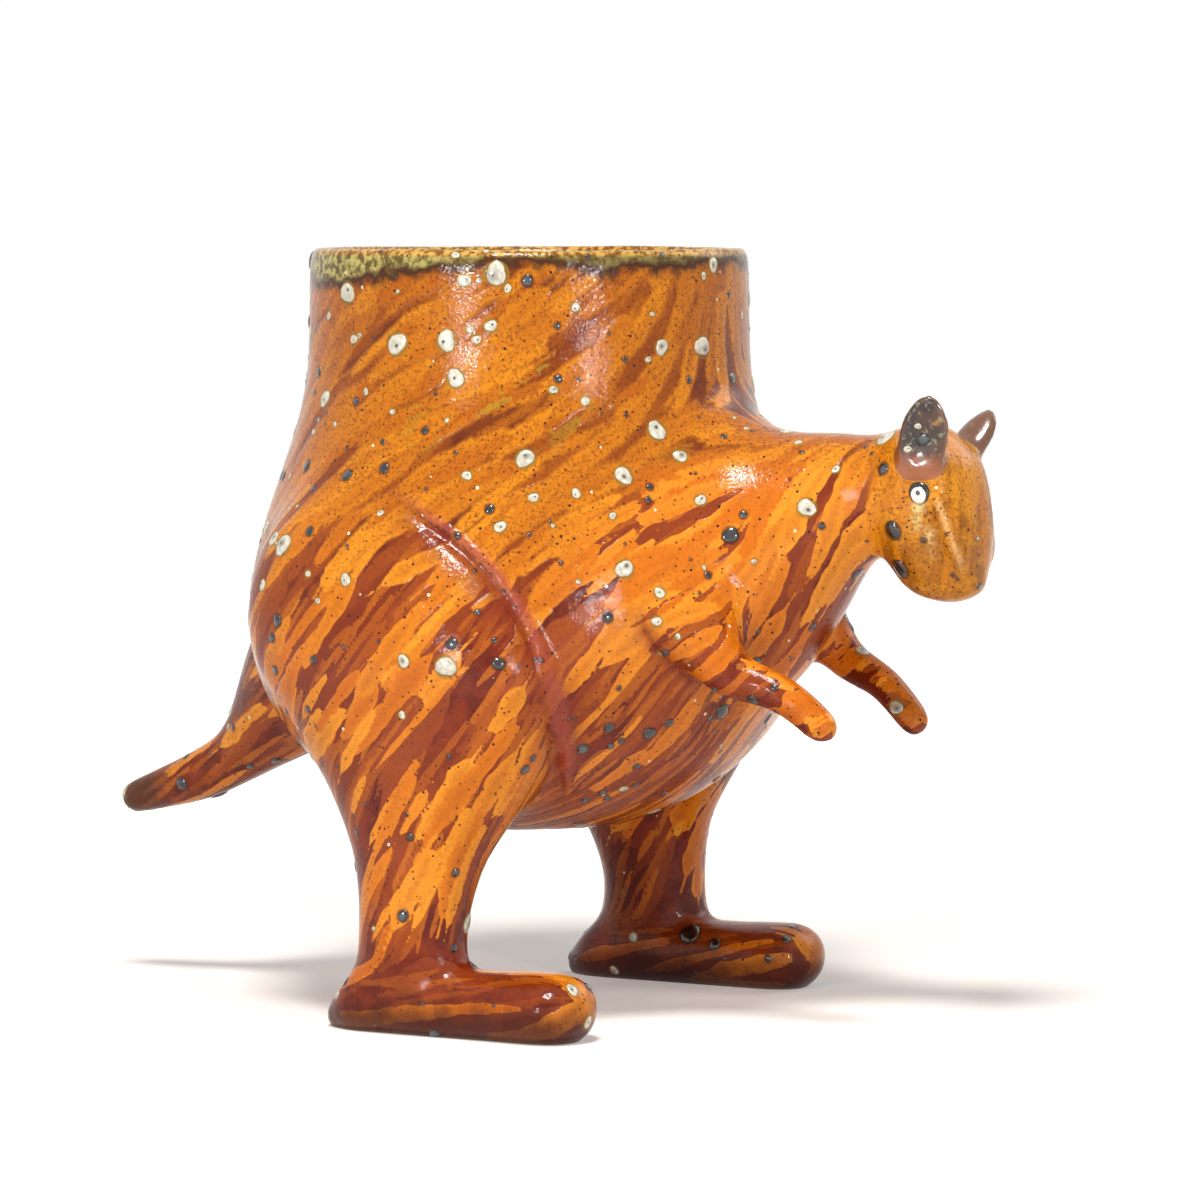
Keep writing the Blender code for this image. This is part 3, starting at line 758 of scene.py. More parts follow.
# %% [markdown]
# A wiped joint is a hollow curve, and a joint left alone is a crease. The haunch keeps its
# crease in front and is wiped at the back. How strongly each point is wiped goes into a
# vertex group, which a Smooth modifier follows.

# %% Tell where a finger wipes
HAUNCH_MIDDLE = (-3.0, 58.0)
SMOOTH_LEVELS = 20


def joint(first, second, reach):
    """How strongly the joint of two forms is wiped at each point, from 0 to 1."""
    return 1 - smoothstep(0.0, reach, np.maximum(gap[first], gap[second]))


def wheel_places(points):
    """The points in millimetres from the wheel's axis."""
    return points / MM - np.array([AXIS_X, 0, 0], np.float32)


def crease_share(places):
    """1 along the front edge of a haunch, where its crease is kept, and 0 behind."""
    rise, ahead = places[:, 2] - HAUNCH_MIDDLE[1], places[:, 0] - HAUNCH_MIDDLE[0]
    turn = np.degrees(np.arctan2(rise, ahead))
    return smoothstep(-52, -34, turn) * (1 - smoothstep(52, 84, turn))


def smooth_clay(name, weights, repeats):
    """Smooths the clay where the weights say."""
    group = clay.vertex_groups.new(name=name)
    levels = np.round(np.clip(weights, 0, 1) * SMOOTH_LEVELS).astype(int)
    for level in range(1, SMOOTH_LEVELS + 1):
        chosen = np.nonzero(levels == level)[0]
        if len(chosen):
            group.add(chosen.tolist(), level / SMOOTH_LEVELS, "REPLACE")
    apply_modifier(clay, "SMOOTH", factor=0.5, iterations=repeats, vertex_group=name)
    clay.vertex_groups.clear()


places = wheel_places(points)
crease = crease_share(places)
print("creases are kept at", int((crease > 0.5).sum()), "points")

# %% [markdown]
# Each pair of forms has its own width of wiping, and an arm is wiped only over the
# shoulder. The neck's is wider than FAR, so it also softens the whole skin a little, lip
# and all, as a damp sponge does. The edge of the haunch's pad beside the crease is rounded
# off, and the last light smoothing goes easy on the lip.

# %% Wipe the joints with a wet finger
height = places[:, 2]
wide = np.maximum(joint("neck", "cup", 14.0),
                  joint("head", "neck", 8.0) * smoothstep(78, 88, height))
middle, pad_edge = np.zeros(len(points)), np.zeros(len(points))
narrow = np.maximum(joint("tail", "cup", 6.0), joint("head", "neck", 3.0))
for word in SIDES:
    leg, foot, arm = word + "_leg", word + "_foot", word + "_arm"
    wide = np.maximum(wide, joint(leg, "cup", 12.0) * (1 - crease))
    middle = np.maximum(middle, joint(leg, foot, 6.0) * (1 - smoothstep(-6, 0, places[:, 0])))
    middle = np.maximum(middle, joint(arm, "cup", 6.0) * smoothstep(62, 72, height))
    middle = np.maximum(middle, joint(arm, "neck", 5.0) * smoothstep(60, 69, height))
    narrow = np.maximum(narrow, joint(leg, foot, 4.5))
    on_pad = (gap[leg] < 0.6) & (gap["cup"] > 0.5)
    pad_edge += crease * on_pad * np.exp(-((gap["cup"] - 1.6) / 1.6) ** 2)
    narrow = np.maximum(narrow, joint(arm, "neck", 3.0))
    narrow = np.maximum(narrow, joint(word + "_ear", "head", 1.4))
ear_hollow = 1 - smoothstep(0.3, 1.1, np.minimum(gap["left_hollow"], gap["right_hollow"]))
lip_guard = smoothstep(RIM - 8.0, RIM - 4.0, height)
smooth_clay("wide", wide, 280)
smooth_clay("middle", np.maximum(wide, middle), 80)
smooth_clay("pad_edge", pad_edge * 0.8, 60)
smooth_clay("narrow", np.maximum(wide, narrow), 22)
smooth_clay("all", 1 - lip_guard * 0.6, 4)
print("wiped", int((wide > 0.5).sum()), "points broadly and", int((narrow > 0.5).sum()), "finely")

# %% [markdown]
# Along the front of each haunch a tool was drawn. The face has a raised edge from the eye
# to the muzzle, a flat cheek beside it and two drips under the eye. Each of them is a line
# of a few points, and what counts is how far a place on the skin is from it.

# %% Draw the lines of the tool, the face and the drips
def bump(values, peak, width):
    """A smooth hill round a peak."""
    return np.exp(-((values - peak) / width) ** 2)


def distance_to_line(places, line):
    """Distance to a line of several straight runs, with how far along it the nearest is."""
    best = np.full(len(places), 99.0)
    along = np.zeros(len(places))
    for i, (start, end) in enumerate(zip(line, line[1:])):
        start, run = np.array(start), np.array(end) - np.array(start)
        share = np.clip((places - start) @ run / (run @ run), 0, 1)
        away = np.linalg.norm(places - start - share[:, None] * run, axis=1)
        along = np.where(away < best, (i + share) / (len(line) - 1), along)
        best = np.minimum(best, away)
    return best, along


def both_sides(line):
    """A line for the left side and its mirror image for the right."""
    return [[(x, side * y, z) for x, y, z in line] for side in SIDES.values()]


CREASE = [(-4.0, 39.2, 84.6), (0.5, 40.0, 82.6), (5.7, 40.6, 79.6), (10.6, 40.7, 76.8),
          (14.5, 40.3, 73.7), (17.8, 40.0, 70.4), (20.2, 39.5, 67.0), (22.0, 39.1, 64.2),
          (23.1, 38.5, 61.6), (24.5, 36.9, 55.4), (24.2, 34.3, 49.1), (22.6, 30.1, 42.5),
          (19.7, 24.7, 36.5)]
TEARS = [[(73.7, 9.0, 82.4), (72.9, 9.3, 78.8)], [(75.2, 8.7, 77.4), (74.8, 8.3, 73.4)]]
FACE_EDGE = [(76.2, 8.4, 84.2), (77.4, 7.8, 80.2), (78.4, 7.0, 76.9), (79.5, 4.0, 70.7)]
CHEEK = [(x - 2.8, y + 1.4, z) for x, y, z in FACE_EDGE]
print("crease line of", len(CREASE), "points")

# %% [markdown]
# The tool left a groove on the haunch's side and pushed up a ridge on the belly's side,
# thin above and broad below. It also cut in behind each arm. Kept for the colour is where
# painted shade darkens the grooves and the haunch's side beside them, over glaze that ran
# thick there, and where a painted highlight lightens the ridges, over glaze that ran thin.

# %% Cut the tool marks
points = read_vectors(clay.data.vertices, "co")
normals = read_vectors(clay.data.vertex_normals, "vector")
places = wheel_places(points)
marks, face, crease_red, crease_lip, tear, thin_edge = (
    np.zeros(len(points), np.float32) for _ in range(6))
middle_x, middle_z = HAUNCH_MIDDLE
crease_turns = [math.atan2(z - middle_z, x - middle_x) for x, _, z in CREASE]
crease_reach = [math.hypot(z - middle_z, x - middle_x) for x, _, z in CREASE]
turn = np.arctan2(places[:, 2] - middle_z, places[:, 0] - middle_x)
reach = np.hypot(places[:, 2] - middle_z, places[:, 0] - middle_x)
within = reach < np.interp(turn, crease_turns[::-1], crease_reach[::-1])
for line in both_sides(CREASE):
    away, along = distance_to_line(places, line)
    signed = np.where(within, -away, away)
    fade = smoothstep(0.0, 0.22, along) * (1 - smoothstep(0.90, 0.99, along))
    low = smoothstep(0.66, 0.86, along)
    marks += (0.34 * (1 - low) * bump(signed, 0.6, 0.6) - 0.55 * bump(signed, -0.9, 1.0)) * fade
    marks += 0.85 * bump(signed, 1.2, 1.7) * low * (along < 1)
    # painted shade: a deep red in the groove and over the haunch's side of it
    shaded_side = np.where(signed < 0, bump(signed, 0.0, 4.6), 0.0) * (1 - low)
    crease_red = np.maximum(crease_red, (shaded_side + bump(signed, 0.4, 3.6) * low) * fade)
    # painted highlight on the ridge that the tool pushed up, where the glaze also runs thin
    crease_lip += (bump(signed, 0.6, 0.6) * (1 - low) + 0.8 * bump(signed, 1.2, 1.2) * low) * fade
for word in SIDES:
    arm = gap[word + "_arm"]
    behind = (1 - smoothstep(62, 68, places[:, 2])) * (np.minimum(arm, gap["cup"]) < 1.5)
    marks += np.where(arm < gap["cup"], 0.0, -0.55 * bump(arm, 0.3, 1.2)) * behind
    # painted shade: a deep red along the groove behind each arm
    beside = bump(np.maximum(arm, gap["cup"]), 0.0, 1.8) * behind
    crease_red = np.maximum(crease_red, 0.8 * beside)
print("deepest mark", round(float(marks.min()), 2), "mm, highest", round(float(marks.max()), 2))

# %% [markdown]
# The marks and the forms of the face are all pushed along the skin's normals, with a faint
# wobble that no hand-formed clay is without.

# %% Form the face and push the clay
for drip in TEARS:
    for line in both_sides(drip):
        away, along = distance_to_line(places, line)
        tear += bump(away, 0.0, 1.0) * (1 - 0.3 * along)
for line in both_sides(FACE_EDGE):
    away, along = distance_to_line(places, line)
    fade = smoothstep(0.0, 0.15, along) * (1 - smoothstep(0.80, 1.0, along))
    face += 0.85 * bump(away, 0.0, 1.0) * fade
    # a painted highlight along the face's edge, where the glaze also runs thin
    thin_edge += bump(away, 0.0, 0.55) * fade
for line in both_sides(CHEEK):
    away, _ = distance_to_line(places, line)
    face -= 0.80 * bump(away, 0.0, 2.2) * (gap["head"] < 1.0)
wobble = np.array([noise.noise(Vector(p) / (14 * MM)) for p in points], np.float32)
ripple = np.array([noise.noise(Vector(p) / (5 * MM)) for p in points], np.float32)
uneven = (0.22 * wobble + 0.05 * ripple) * (1 - 0.5 * lip_guard)
push = marks + face + 0.12 * np.minimum(tear, 1) + uneven
points = points + normals * (push * MM)[:, None]
clay.data.vertices.foreach_set("co", points.reshape(-1))
clay.data.update()
print("pushed by", round(float(push.min()), 2), "to", round(float(push.max()), 2), "mm")

# %% [markdown]
# The fur is brushed on over a ground rich in iron: its strokes rise from the tail's end of
# the animal towards its nose, steeper on the neck and the shins and almost level on the
# feet. So the lean of the fur is told first, for any place on the skin.

# %% Tell which way the fur lies
def ease(low, high, value):
    share = min(max((value - low) / (high - low), 0.0), 1.0)
    return share * share * (3 - 2 * share)


def fur_lean(x, y, z):
    """The fur's rise in degrees at a place, from the wheel's axis."""
    lean = 33 - 17 * (1 - ease(34, 52, z))
    flank = ease(20, 30, abs(y)) * (1 - ease(18, 28, x)) * (1 - ease(74, 90, z))
    lean += (50 + 14 * (1 - ease(24, 46, z)) - lean) * flank
    lean += (62 - lean) * ease(42, 52, x) * ease(50, 60, z)
    lean += (80 - lean) * ease(62, 68, x)
    lean += (38 - lean) * (1 - ease(-46, -38, x))
    lean += (12 - lean) * (1 - ease(8, 13, z)) * ease(24, 30, abs(y))
    return math.radians(lean)


print("fur leans", round(math.degrees(fur_lean(0, -40, 60))), "degrees on the haunch")

# %% [markdown]
# A stroke starts at a random point of the outside and follows the fur in short steps. After
# each step the brush is set down on the nearest point of the skin.

# %% Follow the fur over the skin
STROKE_STEP = 1.5
rng = random.Random(41)
skin = wheel_places(points)
clay_tree = search_tree(clay)
skin_normals = read_vectors(clay.data.vertex_normals, "vector")
outside = (skin[:, 2] < RIM - 0.6) & (skin[:, 2] > 0.4)
outside &= (np.hypot(skin[:, 0], skin[:, 1]) > RIM_RADIUS - LIP / 2) | (skin[:, 2] < 90)
outside_points = np.nonzero(outside)[0]
by_x = np.argsort(skin[:, 0])
sorted_x = skin[by_x, 0]


def draw_trail(start, length, stray):
    """Points, ways and normals of a stroke of the brush on the skin, in millimetres."""
    spot = Vector(start)
    trail = []
    for _ in range(max(3, int(length / STROKE_STEP)) + 1):
        found, normal, _, _ = clay_tree.find_nearest(place(*spot))
        spot = Vector((found.x / MM - AXIS_X, found.y / MM, found.z / MM))
        lean = fur_lean(*spot) + stray
        way = Vector((math.cos(lean), 0, math.sin(lean)))
        way = (way - normal * way.dot(normal)).normalized()
        trail.append((spot.copy(), way, normal.copy()))
        spot = spot + way * STROKE_STEP
    return [np.array(part, np.float32) for part in zip(*trail)]


print("brush may start at", len(outside_points), "of", len(skin), "points")

# %% [markdown]
# A stroke is drawn up or down the fur, with a full belly, wavering edges and a tapering
# end. Every point of the skin keeps how deep it lies inside a stroke, in millimetres, so
# the glaze can give the strokes crisp edges or melted ones. A later stroke covers an
# earlier one and brings its own tone.

# %% Lay one stroke
UNTOUCHED = -3.0


class Layer:
    """One layer of strokes: depth inside a stroke in millimetres, and the stroke's tone."""

    def __init__(self):
        self.depth = np.full(len(skin), UNTOUCHED, np.float32)
        self.tone = np.full(len(skin), 0.5, np.float32)

    def brush(self, start, length, width, ragged, stray):
        """Lays one stroke; its end is ragged by that many millimetres."""
        spots, ways, normals = draw_trail(start, length, stray)
        if rng.random() < 0.5:
            spots, ways, normals = spots[::-1], -ways[::-1], normals[::-1]
        length = (len(spots) - 1) * STROKE_STEP
        margin = width / 2 + 1.2
        low, high = spots.min(axis=0) - margin, spots.max(axis=0) + margin
        near = by_x[np.searchsorted(sorted_x, low[0]):np.searchsorted(sorted_x, high[0])]
        near = near[np.all((skin[near] > low) & (skin[near] < high), axis=1)]
        away = skin[near][:, None, :] - spots[None, :, :]
        nearest = np.argmin((away ** 2).sum(axis=2), axis=1)
        offset = skin[near] - spots[nearest]
        way, normal = ways[nearest], normals[nearest]
        along = nearest * STROKE_STEP + (offset * way).sum(axis=1)
        across = (offset * np.cross(normal, way)).sum(axis=1)
        phase = rng.uniform(0, 6)
        share = np.clip(along / length, 0, 1)
        half = width / 2 * np.clip(share / 0.22, 0.02, 1) ** 0.55 * (1 - 0.5 * share ** 2)
        half *= 1 + 0.13 * np.sin(along * 0.55 + phase) + 0.07 * np.sin(along * 1.7 + 2 * phase)
        bristle = 0.5 + 0.3 * np.sin(across * 2.6 + phase) + 0.2 * np.sin(across * 5.9 + 3 * phase)
        end = length - ragged * bristle
        depth = np.minimum(half - np.abs(across), (end - along) * 0.7)
        hidden = ((skin_normals[near] * normal).sum(axis=1) < 0.15)
        hidden |= np.abs((offset * normal).sum(axis=1)) > 2.5 + width / 4
        depth[hidden] = UNTOUCHED
        fresh = depth > 0
        old = self.depth[near]
        self.depth[near] = np.where(fresh, np.where(old > 0, np.maximum(depth, 0.25), depth),
                                    np.maximum(old, depth))
        tone = self.tone[near]
        self.tone[near] = np.where(fresh, rng.random(), tone)


print("a point outside every stroke is", UNTOUCHED, "mm deep")

# %% [markdown]
# There are three layers: broad thin washes, opaque strokes of orange slip and fine lines
# of a few bristles. The slip lies thick above and in bundles below.

# %% Brush the three layers
def brush_many(layer, count, lengths, widths, ragged, wanted=None):
    """Brushes many strokes from random points; wanted tells how likely a place gets one."""
    for _ in range(count):
        start = skin[outside_points[rng.randrange(len(outside_points))]]
        if wanted is not None and rng.random() > wanted(*start):
            continue
        length, width = rng.uniform(*lengths), rng.uniform(*widths)
        layer.brush(start, length, width, ragged * length, math.radians(rng.gauss(0, 5)))


def wanted_orange(x, y, z):
    """Opaque orange lies thick above and in bundles below."""
    clump = 0.5 + 0.9 * noise.noise(Vector((x, y, z)) / 16)
    if z < 10:
        return 0.15
    return 0.35 + 0.65 * ease(62, 84, z) if clump > 0.35 else 0.75 * ease(50, 80, z) + 0.12


wash, orange, fine = Layer(), Layer(), Layer()
brush_many(wash, 620, (18, 40), (2.6, 6.5), 0.14)
brush_many(orange, 2100, (8, 28), (1.2, 3.9), 0.08, wanted_orange)
brush_many(fine, 2000, (6, 20), (0.7, 1.5), 0.12)
layers = {"wash": wash, "orange": orange, "fine": fine}
for name, layer in layers.items():
    print(name, "covers", round(float((layer.depth[outside_points] > 0).mean()), 2))

# %% [markdown]
# The clay is full of feldspar and iron. In the fire the feldspar swelled into cream beads
# with a pinhole, each in an olive ring where it stained the glaze, and the iron melted into
# black glassy beads. They lie at random, small ones far more often than big ones, and none
# touches another.

# %% Scatter feldspar and iron beads
def scatter(count, sizes, wanted, taken):
    """Random places for beads with their radii in millimetres, clear of one another.

    sizes gives the smallest and the largest radius, and how rare the large ones are.
    """
    beads = []
    smallest, largest, rare = sizes
    while len(beads) < count:
        index = outside_points[rng.randrange(len(outside_points))]
        x, y, z = skin[index]
        if rng.random() > wanted(x, y, z):
            continue
        radius = smallest + (largest - smallest) * rng.random() ** rare
        if any((x - o[0]) ** 2 + (y - o[1]) ** 2 + (z - o[2]) ** 2 < (radius + o[3]) ** 2 * 1.1
               for o in taken):
            continue
        bead = (x, y, z, radius, rng.random())
        beads.append(bead)
        taken.append(bead)
    return beads


def wanted_feldspar(x, y, z):
    if x > 66 and z > 67:
        return 0.0 if z > 80 else 0.12
    clump = 0.55 + 0.8 * noise.noise(Vector((x, y, z)) / 18)
    return max(0.06, clump) * (0.22 + 0.78 * ease(52, 76, z))


def wanted_iron(x, y, z):
    if x > 70 and z > 80:
        return 0.0
    return max(0.10, 0.6 + 0.9 * noise.noise(Vector((x + 90, y, z)) / 15))


taken = []
feldspar_beads = scatter(215, (0.30, 1.85, 1.7), wanted_feldspar, taken)
iron_beads = scatter(420, (0.20, 1.15, 2.2), wanted_iron, taken)
iron_beads += scatter(10, (1.3, 2.0, 1.5), wanted_iron, taken)
print(len(taken), "beads scattered")

# %% [markdown]
# The near ear in the photograph has one large iron bead and two pale ones, so each ear is
# given three beads of its own. Round every bead the glaze is stained, so the distance to
# its edge is kept.

# %% Set the ears' beads and measure the stains
def halo_distance(beads, reach=3, beyond=4.0):
    """Distance in millimetres from each point of the skin to the nearest bead's edge."""
    nearest = np.full(len(skin), beyond, np.float32)
    for x, y, z, radius, _ in beads:
        near = by_x[np.searchsorted(sorted_x, x - radius - reach):
                    np.searchsorted(sorted_x, x + radius + reach)]
        away = np.linalg.norm(skin[near] - (x, y, z), axis=1) - radius
        nearest[near] = np.minimum(nearest[near], away)
    return nearest


for word in SIDES:
    base, way, broad, outward = ear_frame(word)
    iron_beads.append((*(base + way * 0.34 + outward), 1.1, 0.8))
    feldspar_beads.append((*(base + way * 0.52 - broad * 0.9 + outward), 0.55, 0.2))
    feldspar_beads.append((*(base + way * 0.22 - broad * 2.2 + outward), 0.6, 0.5))
halos = {"feldspar": halo_distance(feldspar_beads), "iron": halo_distance(iron_beads)}
print(len(feldspar_beads), "feldspar beads and", len(iron_beads), "iron beads")

# %% [markdown]
# One bead is modelled as a ball of a few dozen faces and pressed onto the skin again and
# again: each copy is flattened, made a little uneven by its own seed, and bent to follow
# the skin. The eyes are larger beads of the same kind.

# %% Press the beads on
def press_beads(name, beads, height, wavy=0.10, segments=10, rings=6):
    """One mesh of flattened balls that follow the skin, each told apart by its seed."""
    deselect_all()
    bpy.ops.mesh.primitive_uv_sphere_add(segments=segments, ring_count=rings, radius=1)
    ball = bpy.context.object
    unit = [tuple(v.co) for v in ball.data.vertices]
    faces = [tuple(f.vertices) for f in ball.data.polygons]
    remove_object(ball)
    points_out, faces_out, local = [], [], []
    for x, y, z, radius, seed in beads:
        found, normal, _, _ = clay_tree.find_nearest(place(x, y, z))
        side = normal.cross(Z if abs(normal.z) < 0.9 else X).normalized()
        rise = normal.cross(side)
        start = len(points_out)
        for u, v, w in unit:
            turn = math.atan2(v, u)
            size = radius * (1 + wavy * math.sin(2 * turn + seed * 40)
                             + wavy / 2 * math.sin(3 * turn + seed * 70))
            spot = found + (side * u + rise * v) * size * MM
            on_skin, way, _, _ = clay_tree.find_nearest(spot)
            up = w * height * radius if w > 0 else w * 0.45
            points_out.append(on_skin + way * up * MM)
            local += [u, v, seed]
        faces_out += [tuple(i + start for i in face) for face in faces]
    mesh = bpy.data.meshes.new(name)
    mesh.from_pydata(points_out, [], faces_out)
    mesh.attributes.new("bead_place", "FLOAT_VECTOR", "POINT").data.foreach_set("vector", local)
    thing = bpy.data.objects.new(name, mesh)
    bpy.context.scene.collection.objects.link(thing)
    select_only(thing)
    bpy.ops.object.shade_smooth()
    return thing


EYE_X, EYE_Y, EYE_Z, EYE_RADIUS = 73.6, 8.9, 84.1, 1.75
feldspar = press_beads("feldspar_beads", feldspar_beads, 0.16, wavy=0.15)
iron = press_beads("iron_beads", iron_beads, 0.22)
eyes = {}
for word, side in SIDES.items():
    eye = (EYE_X, side * EYE_Y, EYE_Z, EYE_RADIUS, 0.3)
    eyes[word + "_eye"] = press_beads(word + "_eye_glazed", [eye], 0.38, 0.0, 24, 12)
print("beads", len(feldspar.data.polygons) + len(iron.data.polygons), "faces")

# %% [markdown]
# The soles were wiped flat on a board. A block with its top on the table plane cuts off
# what lies below, and the count of open edges proves that the skin stays closed.

# %% Slice the soles flat
def open_edges(thing):
    """How many edges of a mesh don't have exactly two faces."""
    mesh = bmesh.new()
    mesh.from_mesh(thing.data)
    count = sum(not edge.is_manifold for edge in mesh.edges)
    mesh.free()
    return count


print("clay before slicing,", open_edges(clay), "open edges")
deselect_all()
bpy.ops.mesh.primitive_cube_add(size=1, location=(0, 0, -20 * MM), scale=(0.4, 0.4, 40 * MM))
table = bpy.context.object
closed_cut(clay, table)
remove_object(table)
print("sliced", len(clay.data.polygons), "faces left,", open_edges(clay), "open edges")

# %% [markdown]
# The real bowl is turned finer than the outside, so the rough hollow is cut away a little
# below the lip. Its faces are picked by their place, and a plane cuts them at one height.

# %% Cut the rough hollow away
BOWL_JOIN = RIM - 8.0


def select_faces(thing, chosen):
    """Selects the chosen faces alone, ready for edit mode."""
    select_only(thing)
    bpy.context.tool_settings.mesh_select_mode = (False, False, True)
    for parts in (thing.data.vertices, thing.data.edges):
        parts.foreach_set("select", np.zeros(len(parts), bool))
    thing.data.polygons.foreach_set("select", chosen)


centres = wheel_places(read_vectors(clay.data.polygons, "center"))
in_bowl = np.hypot(centres[:, 0], centres[:, 1]) < RIM_RADIUS - LIP / 2
select_faces(clay, in_bowl & (centres[:, 2] > FALSE_FLOOR - 1.0))
bpy.ops.object.mode_set(mode="EDIT")
bpy.ops.mesh.bisect(plane_co=place(0, 0, BOWL_JOIN), plane_no=(0, 0, 1), clear_inner=True)
bpy.ops.object.mode_set(mode="OBJECT")
print("rough hollow cut away,", open_edges(clay), "open edges")

# %% [markdown]
# A smooth inside is spun to take its place. It follows the outside at the wall's thickness
# and ends in a round bottom. The two open edges are bridged, so the skin is closed again.

# %% Turn the bowl
WALL = 3.8
FLOOR_THICK = 4.5
BOWL_ROUND = 9.0
BOWL_RINGS = 40
ROUND_RINGS = 12


def inner_radius(z):
    """The bowl's radius at a height: the wall is thinner towards the lip."""
    thick = LIP + (WALL - LIP) * min(max((RIM - z) / 30.0, 0.0), 1.0)
    return cup_radius(z) - thick


bowl_depth = BOWL_JOIN - BASE - FLOOR_THICK - BOWL_ROUND
bowl_heights = [BOWL_JOIN - bowl_depth * i / BOWL_RINGS for i in range(1, BOWL_RINGS + 1)]
bowl_outline = [(inner_radius(z), z) for z in bowl_heights]
last_r, last_z = bowl_outline[-1]
for i in range(1, ROUND_RINGS + 1):
    turn = math.pi / 2 * i / ROUND_RINGS
    bowl_outline.append((last_r * math.cos(turn), last_z - BOWL_ROUND * math.sin(turn) ** 1.6))
bowl = spin_outline("bowl", bowl_outline)
select_only(clay)
bowl.select_set(True)
bpy.ops.object.join()
bpy.ops.object.mode_set(mode="EDIT")
bpy.ops.mesh.select_mode(type="EDGE")
bpy.ops.mesh.select_all(action="DESELECT")
bpy.ops.mesh.select_non_manifold(extend=False, use_wire=False, use_boundary=True,
                                 use_multi_face=False, use_non_contiguous=False,
                                 use_verts=False)
bpy.ops.mesh.bridge_edge_loops()
bpy.ops.mesh.select_all(action="SELECT")
bpy.ops.mesh.quads_convert_to_tris()
bpy.ops.mesh.normals_make_consistent(inside=False)
bpy.ops.object.mode_set(mode="OBJECT")
print("whole clay", len(clay.data.polygons), "faces,", open_edges(clay), "open edges")

# %% [markdown]
# Now the whole is parted along its luted seams. A limb's own form, made a little fatter, is
# the knife: what lies inside it becomes the limb and what lies outside stays. A core left out
# of the knives of the limbs on the cup keeps the cup's wall whole behind them.

# %% Part the clay into the animal's pieces
GROW = {"ear": 0.3, "head": 0.8, "foot": 0.8, "arm": 1.2, "leg": 1.2, "neck": 1.2, "tail": 1.2}
ON_THE_CUP = ("arm", "leg", "neck", "tail")
CORE_INSET = 1.6
CORE_TOP = RIM - 10.0


def fresh_copy(thing, name):
    copy = thing.copy()
    copy.data = thing.data.copy()
    copy.name = name
    bpy.context.scene.collection.objects.link(copy)
    return copy


core_outline = [(0.0, CORE_TOP)]
core_outline += wall_outline(BASE - 3.0, CORE_TOP, CORE_INSET, 60)[::-1]
core_outline = [(max(r, 0.0), z) for r, z in core_outline if r > 0.5 or z > CORE_TOP - 1.0]
core_outline.append((0.0, core_outline[-1][1]))
core = spin_outline("core", core_outline, 96)
whole = fresh_copy(clay, "whole")
pieces = {}
for name in LIMBS:
    part = name.split("_")[-1]
    knife = model_limb(name, GROW[part])
    if part in ON_THE_CUP:
        closed_cut(knife, core)
    pieces[name] = fresh_copy(clay, name + "_glazed")
    closed_cut(pieces[name], knife, "INTERSECT")
    closed_cut(clay, knife)
    remove_object(knife)
remove_object(core)
pieces["cup_body"] = clay
clay.name = "cup_body_glazed"
for name, piece in pieces.items():
    print(name, len(piece.data.polygons), "faces,", open_edges(piece), "open edges")

# %% [markdown]
# The strokes were laid on the whole skin. Each piece now takes them over, at every point
# from the three nearest points of the whole, so a stroke runs on over a seam.

# %% Carry the strokes over to the pieces
skin_attributes = {
    "crease_red": crease_red, "crease_lip": crease_lip, "thin_edge": thin_edge, "tear": tear,
    "ear_hollow": ear_hollow,
}
skin_attributes.update({name + "_depth": layer.depth for name, layer in layers.items()})
skin_attributes.update({name + "_tone": layer.tone for name, layer in layers.items()})
skin_attributes.update({name + "_edge": halo for name, halo in halos.items()})
NEAREST = 3
skin_tree = KDTree(len(skin))
for i, point in enumerate(points):
    skin_tree.insert(point, i)
skin_tree.balance()


def carry_strokes(piece):
    """Copies the skin's values to a piece's points."""
    places = read_vectors(piece.data.vertices, "co")
    found = np.zeros((len(places), NEAREST), int)
    share = np.zeros((len(places), NEAREST), np.float32)
    for i, point in enumerate(places):
        for k, (_, index, away) in enumerate(skin_tree.find_n(point, NEAREST)):
            found[i, k] = index
            share[i, k] = 1 / (away / MM + 0.01) ** 2
    share /= share.sum(axis=1, keepdims=True)
    for name, values in skin_attributes.items():
        carried = (values.astype(np.float32)[found] * share).sum(axis=1)
        attribute = piece.data.attributes.new(name, "FLOAT", "POINT")
        attribute.data.foreach_set("value", carried.astype(np.float32))
    lining = [float(math.hypot(x, y) < cup_radius(z) - 2.2 and BASE + 2 < z < RIM - 2.5)
              for x, y, z in wheel_places(places)]
    piece.data.attributes.new("lining", "FLOAT", "POINT").data.foreach_set("value", lining)


for piece in pieces.values():
    carry_strokes(piece)
print("strokes carried to", len(pieces), "pieces")

# %% [markdown]
# A cut leaves a hard edge in the shading. The shading normals are copied back from the
# whole skin, so the seams don't show, just as they don't on fired clay.

# %% Smooth the seams
def take_normals(piece):
    """Gives a piece the shading normals of the whole skin."""
    select_only(piece)
    bpy.ops.object.shade_smooth()
    apply_modifier(piece, "DATA_TRANSFER", object=whole, use_loop_data=True,
                   data_types_loops={"CUSTOM_NORMAL"}, loop_mapping="POLYINTERP_NEAREST")


for piece in pieces.values():
    take_normals(piece)
print("normals taken from", len(whole.data.polygons), "faces")

# %% [markdown]
# Every glaze here is a glass on stoneware, so each starts from the same shader: an index of
# refraction of about 1.5 and a thin clear coat, which is the outermost, smoothest glass.
# The white studio is mirrored in it from all round, so the coat is given at a third to a
# half of its full weight, which keeps the colours under it deep.

# %% Start a glaze
GLASS_IOR = 1.52


